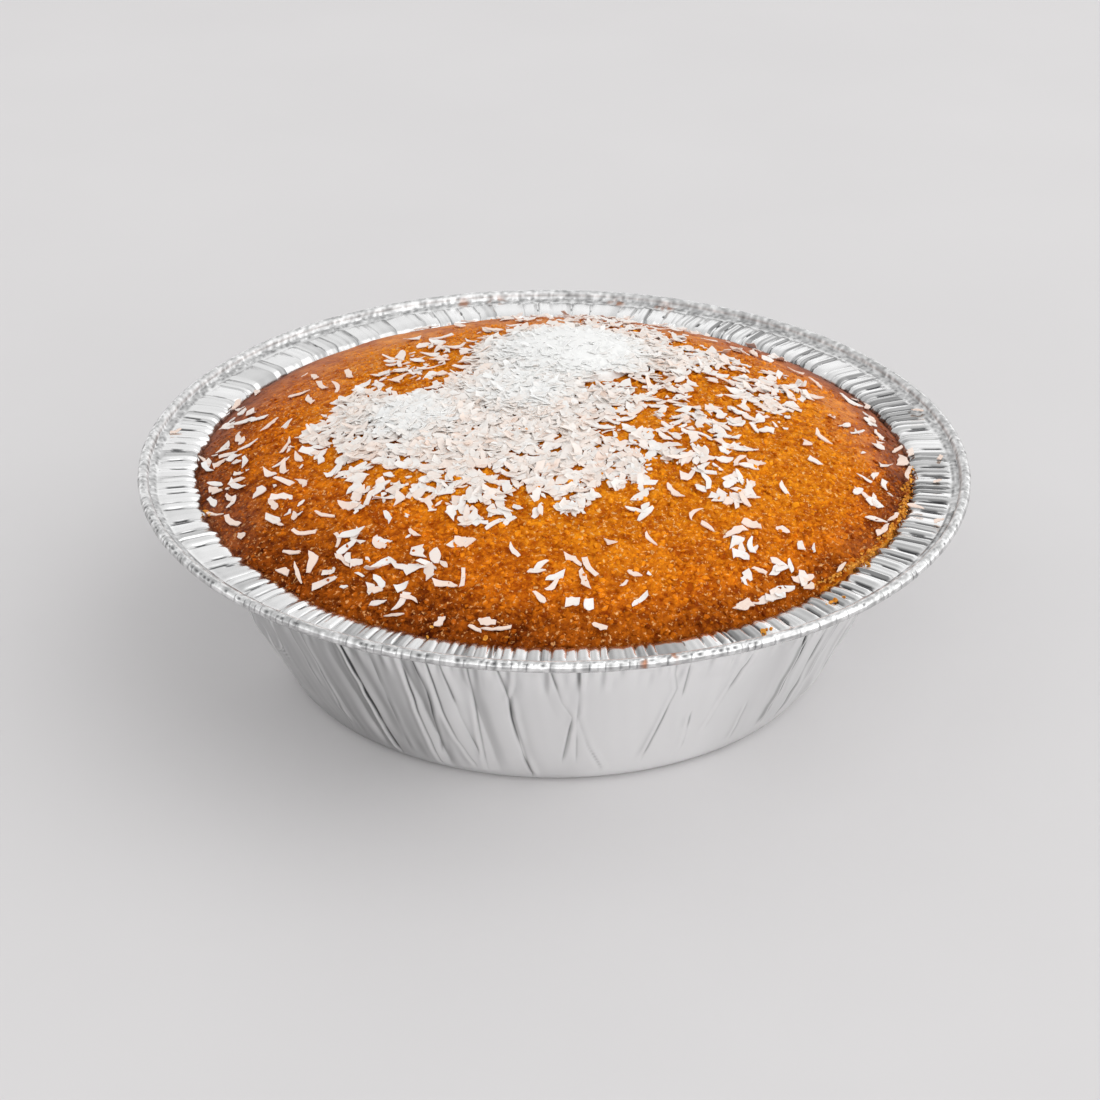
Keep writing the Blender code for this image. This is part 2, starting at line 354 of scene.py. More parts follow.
def sector(angle, middle, half, start):
    """1 within a sector of the ring, fading to 0 beside it. Its middle and half width are in degrees."""
    return smooth(start - np.abs(between(angle, math.radians(middle))) / math.radians(half))


def columns_through(edges, step, crowding):
    """Angles round a full turn, about a step apart, that pass through every edge and crowd towards it."""
    found = []
    for start, end in zip(edges, np.append(edges[1:], edges[0] + TURN)):
        share = np.linspace(0, 1, max(2, round((end - start) / step)), endpoint=False)
        found.append(start + (end - start) * (share - crowding * np.sin(TURN * share) / TURN))
    return np.concatenate(found)


def draw_flutes():
    """The angles where the flutes meet, and each flute's own shape, one row of numbers for each measure."""
    draw = random.Random(SEED)
    angle, edges, shapes = 0.0, [], []
    while angle < 360:
        _, pitch, widths, lengths, slotted, flute_shade = [zone for zone in FLUTE_ZONES if zone[0] <= angle][-1]
        edges.append(angle)
        slot_start = draw.uniform(79.4, 81.6) * MM
        shapes.append((
            draw.choice((0, 1)),
            draw.uniform(0.12, 0.88),
            draw.uniform(*FLUTE_RISE),
            draw.uniform(1.2, 3.2),
            FLUTES_END - draw.uniform(0, 0.9) * MM,
            draw.uniform(*FLUTE_RUN) * draw.uniform(0.3, 1),
            draw.random(),
            (draw.uniform(*widths) if draw.random() < slotted else 0.001) * MM,
            slot_start,
            slot_start + draw.uniform(*lengths) * MM,
            # each flute's painted shade, varied at random round its zone's
            flute_shade + draw.uniform(-0.45, 0.45),
        ))
        angle += draw.uniform(*pitch) * (1.8 if draw.random() < WIDE_FLUTES else 1)
    return np.radians(np.array(edges) * 360 / angle), np.array(shapes).T


def flank_shading(angle):
    """How strongly shade and highlight are painted on the flutes' flanks, from 0 to 1."""
    return sector(angle, FLANK_SHADE_MIDDLE, 26, 1.5)


def sunk_front(angle):
    """Where the flutes' inner ends stand lower and further out, from 0 to 1: at the front."""
    return sector(angle, FRONT, 32, 1.8)


def flute_relief(angle, radius, height):
    """The flutes at each point: their lift, the shade painted in their slots and seams, how far their ends
    lean in, and the shade painted on each flute.
    """
    edges, shapes = draw_flutes()
    turned = angle % TURN
    own = np.searchsorted(edges, turned + 1e-9, side="right") - 1
    flipped, peak, rise, ripples, end, run, reach, slot_width, slot_start, slot_end, flute_shade = shapes[:, own]
    pitch = np.append(edges, TURN)[own + 1] - edges[own]
    phase = (turned - edges[own]) / pitch
    phase = np.where(flipped, 1 - phase, phase)
    slot_share = slot_width / (pitch * RIM_RADIUS)
    body = np.clip(phase / (1 - slot_share), 0, 1)
    crest = np.sin(math.pi / 2 * np.minimum(body / peak, (1 - body) / (1 - peak))) ** 0.85
    ripple = 0.15 * np.sin(TURN * ripples * body) * np.sin(math.pi * body)
    slot = np.sin(math.pi * np.clip((phase - 1 + slot_share) / slot_share, 0, 1)) ** 0.6
    slot = slot * smooth((radius - slot_start) / MM) * smooth((slot_end - radius) / MM)
    fade = smooth((end - radius) / (0.6 * MM)) * smooth((height - (WALL_TOP - run)) / run) ** 1.5
    lift = (rise * (crest + ripple) - SLOT_DEPTH * slot) * fade
    from_seam = np.minimum(phase, 1 - phase) * pitch * radius
    seam_width = (0.11 + 0.1 * np.abs(np.cos(angle))) * MM
    # Painted shade in the seams between the flutes.
    seam = np.exp(-((from_seam / seam_width) ** 2)) * (0.8 - 0.5 * flank_shading(angle)) * drawn(own, 0 * own, 22)
    # The slots are painted dark as shade.
    return lift, np.maximum(np.minimum(1, 1.7 * slot), seam) * fade, crest * reach * FLUTE_REACH, flute_shade


def crease_profile(across, depth, width, side):
    """Section of a crease: a narrow fold between slack foil, which bulges more on one side."""
    fold = -np.exp(-((np.abs(across) / (0.65 * width)) ** 1.3))
    beside = np.abs(across) * (1 + 0.9 * np.sign(across * side))
    slack = np.exp(-(((beside - 1.6 * MM) / (1.3 * MM)) ** 2))
    return depth * (0.35 * fold + 0.45 * slack)


def chance_creases():
    """Creases for the rest of the wall: most run straight down, and some fork."""
    draw = random.Random(SEED + 1)
    creases = []
    angle = FRONT_END
    while angle < 360 + FRONT_START:
        angle += draw.uniform(*CREASE_SPACING)
        top, bottom = draw.uniform(26, 42), draw.uniform(2, 18)
        depth, width = draw.uniform(0.25, 0.7), draw.uniform(0.28, 0.6)
        lean = draw.uniform(-1.6, 1.6)
        creases.append((depth, width, ((angle, top), (angle + lean, bottom))))
        if draw.random() < FORK_CHANCE:
            fork = draw.uniform(16, 28)
            spread = draw.choice((-1, 1)) * draw.uniform(1.5, 3.5)
            creases.append((depth * 0.8, width, ((angle + lean / 2, fork), (angle + spread, bottom))))
            creases.append((depth * 0.6, width, ((angle - spread * 0.6, top), (angle + lean / 2, fork))))
    return creases


def wall_creases():
    """All creases as (depth, width, angles, heights upward, whether the wall's columns run along it)."""
    levels = np.linspace(0, WALL_TOP, 40)
    found = []
    for depth, width, places in FRONT_CREASES + tuple(chance_creases()):
        angles, heights = np.array(places[::-1]).T
        angles, heights = np.radians(angles), heights * MM
        path = np.interp(levels, heights, angles)
        found.append((path, (depth * MM, width * MM, angles, heights)))
    found.sort(key=lambda entry: entry[0].mean())
    first = last = found[0][0] - 2 * GUIDE_GAP
    creases = []
    for path, crease in found:
        clear = min(path - last) > GUIDE_GAP and max(path - first) < TURN - GUIDE_GAP
        last = path if clear else last
        creases.append((*crease, clear))
    return creases


def wall_columns(heights):
    """The angles of the wall's columns at each height. They run along the creases, which stay crisp."""
    clear = [crease for crease in wall_creases() if crease[-1]]
    kept = np.array([np.interp(heights, places, angles) for _, _, angles, places, _ in clear])
    level = kept.mean(axis=1)
    columns = columns_through(level, TURN / WALL_COLUMNS, 0.5)
    closed, level = np.concatenate([kept, kept[:1] + TURN]), np.append(level, level[0] + TURN)
    return np.array([np.interp(columns, level, row) for row in closed.T])


def crease_relief(angle, height, radius):
    """How far creases and soft bends push the wall outward, and how deep in a crease each point is, as the
    shade that is painted along the crease's line.
    """
    around = angle * WALL_TOP_RADIUS
    bent = 0.25 + 0.75 * smooth(0.5 + waves(around, 0 * around, 40 * MM, 43))
    for middle, half, strength in BENT_ZONES:
        bent = bent + (strength - bent) * sector(angle, middle, half, 1.6)
    relief = 0.30 * MM * waves(around, height, 13 * MM, 41) * (0.4 + height / WALL_TOP)
    leaning = around + 0.15 * height
    bent = bent * smooth(height / (9 * MM))
    relief = relief + 1.0 * MM * bent * np.abs(waves(leaning, height / 8, 7 * MM, 42))
    relief = relief + 0.2 * MM * bent * waves(leaning, height / 8, 2.4 * MM, 45)
    pleats = waves(around, height / 6, 1.3 * MM, 44) * smooth((height - 28 * MM) / (9 * MM))
    relief = relief + 0.3 * MM * pleats
    deep = np.zeros_like(relief)
    for index, (depth, width, angles, heights, clear) in enumerate(wall_creases()):
        across = between(angle, np.interp(height, heights, angles)) * radius
        low, high = heights[0], heights[-1]
        fade = min(4 * MM, (high - low) / 3)
        length = smooth((high + fade / 2 - height) / fade) * smooth((height - low + fade / 2) / fade)
        uneven = smooth(0.7 + 1.1 * waves(height, 0 * height + index, 6 * MM, 46))
        profile = crease_profile(across, depth, width if clear else 0.8 * MM, 1 - 2 * (index % 2))
        relief = relief + profile * length * (0.35 + 0.65 * uneven)
        if clear:
            # Painted shade along the crease's line, darker in its upper part.
            line = np.exp(-((across / (0.12 * MM + 0.14 * depth)) ** 2))
            dark = uneven * (0.45 + 0.75 * smooth((height - 12 * MM) / (14 * MM)))
            deep = np.maximum(deep, line * length * dark * (depth / (0.55 * MM)) ** 1.2)
    return relief, deep


def foil_material():
    """Thin foil: satin and faintly dented. Its colour has painted shade down in its creases, slots and
    groove, painted shade on faces turned to the left and painted highlights on those turned to the right.
    """
    made, tree, shader = new_material("foil")
    place = object_place(tree)
    # Painted shade and highlight: faces turned to the left are painted darker, those turned to the right
    # lighter.
    tilt = linear(tree, attribute(tree, "facing_shade"), -0.5, 0.5, clamp=True)
    colour = grey_ramp(tree, tilt, (0.0, 0.30), (0.34, 0.70), (0.5, 0.90), (0.66, 1.0))
    # Painted shade: near black down in creases, slots, crimps and the groove.
    colour = mixed(tree, attribute(tree, "hollow_shade"), colour, (0.04, 0.04, 0.043))
    colour = mixed(tree, attribute(tree, "stain"), colour, (0.42, 0.20, 0.12))
    rough = linear(tree, attribute(tree, "matt"), 0.14, 0.17)
    rough = linear(tree, noise(tree, place, 60, 2), 0.08, rough)
    dents = bumped(tree, noise(tree, place, 600, 3, 0.6), 0.15, 0.1 * MM)
    connect(tree, shader, Base_Color=colour, Metallic=1.0, Roughness=rough, Normal=dents)
    return made


def facing_left(relief, angle, radius):
    """How far each point of a turned face is tilted to the left, from about -1 to 1."""
    step = between(np.roll(angle, -1, axis=1), np.roll(angle, 1, axis=1)) * radius
    return (np.roll(relief, -1, axis=1) - np.roll(relief, 1, axis=1)) / step


def wall_radius(height):
    return BASE_RADIUS + (WALL_TOP_RADIUS - BASE_RADIUS) * height / WALL_TOP


WALL_LEAN = math.atan2(WALL_TOP, WALL_TOP_RADIUS - BASE_RADIUS)  # how far the wall's face turns from level


def wall_rows():
    """The wall's and the base's section as (radius, height, lean, share of the wall's creases)."""
    rows = [(BASE_RADIUS * share, 0, 0, 0) for share in (0.5, 0.93)]
    for turn in (0.15, 0.5, 0.85):
        rise = BASE_ROUNDING * (1 - math.cos(turn * math.pi / 2))
        rows.append((BASE_RADIUS - BASE_ROUNDING * (1 - 1.6 * turn), rise * 0.9, 0, 0))
    for height in np.linspace(BASE_ROUNDING * 1.3, 39 * MM, 38):
        rows.append((wall_radius(height), height, WALL_LEAN, smooth(height / (4 * MM))))
    for radius, height, share in ((77.65, 40.6, 0.7), (78.0, 42.2, 0.35), (78.4, 43.4, 0.1)):
        rows.append((radius * MM, height * MM, WALL_LEAN, share))
    rows += [(79.2 * MM, 44.2 * MM, 0, 0), (80.6 * MM, FLANGE_HEIGHT - FOIL / 2, 0, 0)]
    rows += [(77.6 * MM, 42.4 * MM, WALL_LEAN, 0), (75.8 * MM, 40 * MM, WALL_LEAN, 0)]
    rows.append((wall_radius(30 * MM) - INNER_DEPTH, 30 * MM, 0, 0))
    rows.append((wall_radius(INNER_DEPTH) - INNER_DEPTH, INNER_DEPTH, 0, 0))
    return rows


def make_wall(material):
    radius, height, lean, creased = np.array(wall_rows()).T[:, :, None]
    angle = wall_columns(height[:, 0])
    radius, height = radius + 0 * angle, height + 0 * angle
    flutes, *_ = flute_relief(angle, radius, height)
    relief, deep = crease_relief(angle, height, radius)
    lift = np.where(lean + height > 1 * MM, flutes, 0) - relief * creased
    lift = np.where(np.arange(len(lift))[:, None] >= len(lift) - 2, 0, lift)
    new_radius = radius - lift * np.sin(lean)
    new_height = height + lift * np.cos(lean)
    new_height = new_height - sunk_front(angle) * 1.2 * MM * smooth((height - 42.6 * MM) / (0.8 * MM))
    # Painted shade on the wall's left front and a painted highlight on its front right.
    shaded = 0.5 * sector(angle, -138, 25, 1.4)
    shaded = shaded - 0.28 * sector(angle, -70, 12, 1.6)
    values = {
        # Painted shade along the creases' lines.
        "hollow_shade": np.minimum(0.95, deep) * creased,
        # Painted shade and highlight by which way each face turns, with the painted bands above.
        "facing_shade": shaded + 1.3 * facing_left(relief * creased, angle, radius),
        "matt": 1 + 0 * angle,
        "stain": 0 * angle,
    }
    turned = (angle, new_radius, new_height)
    return closed_turning("foil_tin_wall", turned, ((0, 0, 0), (0, 0, INNER_DEPTH)), material, values)


def rim_rows():
    """The rim's section as (radius, height, lean, part), from the hem inside, round the bead and back."""
    # The hem ends inside the wall, where hardly any crease lets it through.
    rows = [(76.0, 39.4, 1), (77.2, 42.0, 1), (78.6, 43.9, 0.3), (80.6, 44.15, 0)]
    rows = [(radius * MM, height * MM, WALL_LEAN * lean, "flange") for radius, height, lean in rows]
    rows.append((FLUTES_END, FLANGE_HEIGHT - FOIL, 0, "flange"))
    for turn in np.radians(BEAD_TURNS):
        radius = BEAD_MIDDLE + BEAD_RADIUS * math.cos(turn)
        rows.append((radius, BEAD_HEIGHT + BEAD_RADIUS * math.sin(turn), 0, "bead"))
    rows.append((GROOVE_RADIUS, RING_HEIGHT + 0.2 * MM, 0, "ring"))
    rows.append((FLUTES_END + 0.6 * MM, RING_HEIGHT + 0.2 * MM, 0, "ring"))
    rows.append((FLUTES_END + 0.1 * MM, RING_HEIGHT, 0, "ring"))
    flange = np.linspace(FLUTES_END - 0.35 * MM, FLANGE_INNER, 8)
    rows += [(radius, FLANGE_HEIGHT, 0, "flange") for radius in flange]
    inner = ((79.3, 44.4, 0.15), (78.5, 44.1, 0.5), (78.0, 43.5, 0.8), (77.6, 42.8, 1), (76.8, 41.6, 1))
    for radius, height, lean in (*inner, (75.7, 39.4, 1)):
        rows.append((radius * MM, height * MM, WALL_LEAN * lean, "flange"))
    return rows


def cells(along, size, seed):
    """Cells along a line: how far each point is through its cell, and the cell's own number."""
    share = along / size
    cell = np.floor(share)
    return share - cell, drawn(cell, 0 * cell, seed)


def bead_crimps(angle, turn):
    """The bead's crimps: how far they push it in or out, and how much shade is painted in them."""
    around = angle * RIM_RADIUS
    crimped = smooth((CRIMPED_HALF - np.abs(between(angle, CRIMPED_MIDDLE))) / 0.4 + 0.5)
    crimped = crimped * (0.6 + 0.4 * waves(around, 0 * around, 9 * MM, 52))
    along, own = cells(around + 0.3 * MM * waves(around, 0 * around, 3 * MM, 56), 1.2 * MM, 51)
    blob = np.sin(math.pi * along) ** 2 * (0.3 + 0.7 * own)
    on_top = smooth(1.5 - np.abs(turn - math.radians(92)) / 0.5)
    push = 0.2 * MM * (blob - 0.5) * on_top * (0.35 + 0.65 * crimped)
    along, own = cells(around + 0.4 * MM * waves(around, 0 * around, 2 * MM, 57), 1.5 * MM, 58)
    dent = np.sin(math.pi * along) ** 1.5 * (own < 0.08 + 0.6 * crimped)
    dent = dent * smooth(1.6 - np.abs(turn - np.radians(42 + 22 * own)) / 0.2)
    along, own = cells(around, 1.5 * MM, 59)
    tick = np.exp(-(((along - 0.3 - 0.4 * own) * 1.5 * MM / (0.13 * MM)) ** 2)) * (own < 0.3 + 0.5 * crimped)
    tick = tick * smooth(1.6 - np.abs(turn - np.radians(60 * own)) / 0.7)
    return push - CRIMP_DEPTH * np.maximum(dent, tick), np.maximum(0.85 * dent, 0.7 * tick)


def stained(angle, radius):
    """How stained each point of the rim is, from 0 to 1."""
    share = np.zeros_like(angle)
    for middle, place, length in STAINS:
        along = between(angle, math.radians(middle)) * RIM_RADIUS / (length * MM)
        across = (radius - place * MM) / (0.9 * MM)
        share = np.maximum(share, smooth(1.5 - np.hypot(along, across)))
    return share * smooth(0.7 + waves(angle * RIM_RADIUS, radius, 0.9 * MM, 60))


def soaked(angle, radius):
    """How much syrup has crept between the flutes' inner ends, from 0 to 1: in streaks, at the front."""
    front = sector(angle, -88, 22, 1.6)
    streaks = smooth(0.1 + 1.5 * waves(angle * RIM_RADIUS, 0.1 * radius, 0.7 * MM, 65))
    return 0.9 * front * streaks * smooth((81.2 * MM - radius) / (2.0 * MM))


def make_rim(material):
    rows = rim_rows()
    radius, height, lean = np.array([row[:3] for row in rows]).T[:, :, None]
    part = np.array([row[3] for row in rows])[:, None]
    flange, bead, ring = part == "flange", part == "bead", part == "ring"
    edges, _ = draw_flutes()
    straight = columns_through(edges, TURN / RIM_COLUMNS, 0.4)[None] + 0 * radius
    radius, height = radius + 0 * straight, height + 0 * straight
    around = straight * RIM_RADIUS
    angle = straight + flange * 0.3 * MM / RIM_RADIUS * waves(around, radius, 5 * MM, 21)

    flutes, slots, reach, flute_shade = flute_relief(straight, radius, height)
    from_middle = np.hypot(radius - BEAD_MIDDLE, height - BEAD_HEIGHT) + 1e-9
    turn = np.arctan2(height - BEAD_HEIGHT, radius - BEAD_MIDDLE)
    crimps, crimp_shade = bead_crimps(angle, turn)
    push = bead * (crimps + 0.05 * MM * waves(around, height, 6 * MM, 53)) / from_middle
    bend = smooth((80 * MM - radius) / (1.5 * MM)) * smooth((height - 42 * MM) / MM)
    sunk = sunk_front(angle)
    reach = reach * (1 - 0.6 * sunk) - 0.8 * MM * sunk
    ring_lift = 0.16 * MM * waves(around, radius, 0.9 * MM, 55)
    wave_up = 0.14 * MM * waves(around, 0 * around, 24 * MM, 54)
    new_radius = radius - flange * (flutes * np.sin(lean) + reach * bend) + push * (radius - BEAD_MIDDLE)
    new_height = height + flange * flutes * np.cos(lean) + (1 - flange) * wave_up + ring * ring_lift
    new_height = new_height - flange * sunk * 0.6 * MM * smooth((82 * MM - radius) / (3 * MM))
    new_height = new_height + push * (height - BEAD_HEIGHT)

    # Painted shade and highlight on the flutes' flanks, strongest at the back right and weakest at the
    # front.
    contrast = 1.5 + 2.0 * flank_shading(angle) - 0.7 * sunk
    behind = sector(angle, 100, 35, 3.5)
    # Painted shade in the groove between the flutes and the bead; at the back it is broken into light and
    # dark ticks.
    groove = 0.3 + 0.6 * smooth(0.6 + waves(around, radius, 2.2 * MM, 62))
    ticks = smooth(0.3 + 1.6 * waves(around, 3 * radius, 0.8 * MM, 64))
    groove = groove + (0.45 * ticks - groove) * 0.9 * behind
    groove = groove * np.where(np.abs(radius - FLUTES_END - 0.6 * MM) < 0.1 * MM, 0.3, 1)
    # Painted shade where the flange turns down under the cake.
    inward_shade = 0.35 * (1 - 0.7 * sunk) * smooth((79 * MM - radius) / MM)
    # Painted shade on the bead's inner side, beside the groove.
    beside_groove = (0.05 + 0.35 * ticks) * smooth((turn - math.radians(140)) / 0.2)
    # The bead and the ring are painted a little darker, in uneven patches, as shade.
    uneven = 0.35 + 0.45 * waves(around, 3 * radius + turn * MM, 1.0 * MM, 63, octaves=2)
    shade = [np.maximum(0.95 * slots, inward_shade), np.maximum(crimp_shade, beside_groove)]
    values = {
        "hollow_shade": np.select([flange, bead], shade, groove),
        # Painted shade on each flute and by which way its flanks turn; on the bead and ring, the uneven
        # painted shade.
        "facing_shade": np.where(flange, flute_shade, uneven) + contrast * facing_left(flange * flutes, angle, radius),
        "matt": 2 * bead * smooth((turn - math.radians(92)) / 0.3),
        "stain": np.maximum(0.9 * stained(angle, radius), soaked(angle, radius)),
    }
    return closed_turning("foil_tin_rim", (angle, new_radius, new_height), (), material, values)


def closed_turning(name, turned, poles, material, values):
    """A closed piece from rings of (angle, radius, height). Its ends meet in two poles, or in each other."""
    angle, radius, height = turned
    row_count, columns = angle.shape
    faces = ring_faces(row_count, columns)
    first = list(range(columns))
    last = list(range((row_count - 1) * columns, row_count * columns))
    flat = np.stack([radius * np.cos(angle), radius * np.sin(angle), height], axis=-1).reshape(-1, 3)
    if poles:
        faces += fan_faces(first, len(flat), turned=True) + fan_faces(last, len(flat) + 1, turned=False)
        flat = np.concatenate([flat, np.array(poles)])
    else:
        faces += list(zip(last, last[1:] + last[:1], first[1:] + first[:1], first))
    values = {key: np.append(field.ravel(), np.zeros(len(poles))) for key, field in values.items()}
    return mesh_object(name, flat, faces, material, values)


# ------------ the cake

# The coconut's heap: lobes (x, y, radius, height) in mm.
HEAP_LOBES = ((3, 22, 25, 3.4), (-6, 1, 18, 2.0), (-31, -9, 15, 2.0), (-6, -22, 18, 0.5), (34, 12, 15, 0.3))
GOLDEN_MIDDLE, GOLDEN_HALF = math.radians(-25), math.radians(25)  # where pale crumb shows at the edge


def heap_height(x, y):
    height = np.zeros(np.broadcast(x, y).shape)
    for lobe_x, lobe_y, radius, rise in HEAP_LOBES:
        away = np.hypot(x - lobe_x * MM, y - lobe_y * MM) / (radius * MM)
        height = np.maximum(height, rise * MM * smooth(1.25 * (1 - away)))
    return height


def dome_height(x, y):
    """Height of the crust's smooth form."""
    share = np.minimum(1.0, np.hypot(x, y) / CAKE_RADIUS)
    inner = np.clip(1 - share**2, 0, 1)
    return CAKE_EDGE_HEIGHT + DOME_RISE * inner**DOME_POWER + 0.6 * MM * waves(x, y, 30 * MM, 61) * inner


def dome_normal(x, y):
    step = 1 * MM
    slope_x = (dome_height(x + step, y) - dome_height(x - step, y)) / (2 * step)
    slope_y = (dome_height(x, y + step) - dome_height(x, y - step)) / (2 * step)
    normal = np.stack([-slope_x, -slope_y, np.ones_like(slope_x)], axis=-1)
    return normal / np.linalg.norm(normal, axis=-1, keepdims=True)


def skin_share(x, y):
    """Where the crust has kept a smooth skin, from 0 to 1: towards the right and the back edge."""
    share = np.hypot(x, y) / CAKE_RADIUS
    sideways = (0.12 * np.abs(x) + 0.95 * y) / CAKE_RADIUS
    patches = 0.35 * waves(x, y, 16 * MM, 62, octaves=2)
    return smooth((share - 0.62) * 2.2 + sideways * 1.1 - 0.3 + patches)


def crust_relief(x, y):
    """Relief of the crumb on the crust, and how high each point stands in it, from 0 to 1, which also sets
    how much shade is painted there.
    """
    nearest, second, own = grains(x, y, 1.55 * MM, 63)
    bumps = np.clip((second - nearest) * 1.5, 0, 1) ** 0.7 * (0.35 + 0.65 * own)
    fine_nearest, fine_second, fine_own = grains(x, y, 0.95 * MM, 66)
    fine = np.clip((fine_second - fine_nearest) * 1.4, 0, 1) * fine_own
    pit_nearest, _, pit_own = grains(x, y, 3.4 * MM, 69)
    pits = smooth((0.26 - pit_nearest) / 0.16) * (pit_own > 0.45)
    rough = 1 - 0.55 * skin_share(x, y)
    stand = 0.55 * bumps + 0.35 * fine + 0.2 * waves(x, y, 2.6 * MM, 72) - 0.7 * pits
    relief = rough * 0.46 * MM * stand + 0.22 * MM * waves(x, y, 7 * MM, 73, octaves=2)
    return relief, np.clip(stand, 0, 1)


def disc_grid(size, radius):
    """A square grid wrapped evenly to a disc: x, y, the grid's faces, and its border in order."""
    side = np.linspace(-1, 1, size)
    a, b = np.meshgrid(side, side)
    wide = np.abs(a) > np.abs(b)
    away = np.where(wide, a, b)
    ratio = np.where(wide, b, a) / np.where(away == 0, 1, away)
    angle = np.where(wide, math.pi / 4 * ratio, math.pi / 2 - math.pi / 4 * ratio)
    x, y = radius * away * np.cos(angle), radius * away * np.sin(angle)
    index = np.arange(size * size).reshape(size, size)
    corners = (index[:-1, :-1], index[:-1, 1:], index[1:, 1:], index[1:, :-1])
    faces = np.stack([corner.ravel() for corner in corners], axis=1).tolist()
    border = np.concatenate([index[0, :-1], index[:-1, -1], index[-1, :0:-1], index[:0:-1, 0]])
    return x.ravel(), y.ravel(), faces, border.tolist()


def domed_solid(name, size, radius, top, skirt, material, values):
    """A closed piece under a grid's surface. The skirt lists (radius share, height) down its side."""
    x, y, faces, border = disc_grid(size, radius)
    points = [top(x, y)]
    count = len(x)
    rim = list(border)
    for share, height in skirt:
        points.append(np.stack([x[border] * share, y[border] * share, np.full(len(border), height)], axis=1))
        below = list(range(count, count + len(border)))
        count += len(border)
        faces += list(zip(rim, below, below[1:] + below[:1], rim[1:] + rim[:1]))
        rim = below
    points.append(np.array([[0, 0, skirt[-1][1]]]))
    faces += fan_faces(rim, count, turned=True)
    extra = count + 1 - len(x)
    attributes = {key: np.append(field(x, y), np.zeros(extra)) for key, field in values.items()}
    return mesh_object(name, np.concatenate(points), faces, material, attributes)


def golden(x, y):
    """Where pale crumb shows between the crust and the foil, from 0 to 1."""
    away = np.abs(between(np.arctan2(y, x), GOLDEN_MIDDLE))
    ragged = 1 * MM * waves(x, y, 2.5 * MM, 65)
    return smooth((np.hypot(x, y) + ragged - 75.9 * MM) / MM) * smooth((GOLDEN_HALF - away) / 0.12)


def browning_and_shade(x, y):
    """How dark the crust is, from 0 at the amber middle to 1 at the edge: baked darker towards the edge, and
    darker still on the left front, partly baked and partly painted shade.
    """
    share = np.hypot(x, y) / CAKE_RADIUS
    # Darker on the left front: partly baked, partly painted shade.
    shaded_left_front = np.clip((-0.8 * x - 0.4 * y) / CAKE_RADIUS, -0.3, 1)
    patches = 0.14 * waves(x, y, 22 * MM, 81, octaves=3)
    right = np.clip(x / CAKE_RADIUS, 0, 1)
    back_right = np.clip(0.7 * (x + y) / CAKE_RADIUS, 0, 1)
    edge = smooth((share - 0.5) / 0.52) * 0.48 + (0.25 + 0.4 * right) * smooth((share - 0.85) / 0.13)
    edge = edge + shaded_left_front * np.sqrt(share) * 0.5 + 0.35 * back_right * share
    return np.clip(edge + patches, 0.1, 1) * (1 - golden(x, y))


# The crumb's colours down in its relief, painted shaded, and on top of it, painted lit, by how dark the
# crust is baked and shaded.
SHADED_CRUMB = (
    (0, (0.50, 0.16, 0.012)), (0.1, (0.46, 0.095, 0.001)),
    (0.5, (0.33, 0.052, 0.001)), (1, (0.075, 0.009, 0.000)),
)
LIT_CRUMB = (
    (0, (0.95, 0.41, 0.06)), (0.1, (0.98, 0.35, 0.011)),
    (0.5, (0.95, 0.27, 0.008)), (1, (0.50, 0.108, 0.005)),
)
# The smooth skin's colours, from light to dark.
SKIN = ((0, (0.72, 0.27, 0.05)), (0.5, (0.45, 0.14, 0.045)), (1, (0.24, 0.06, 0.02)))


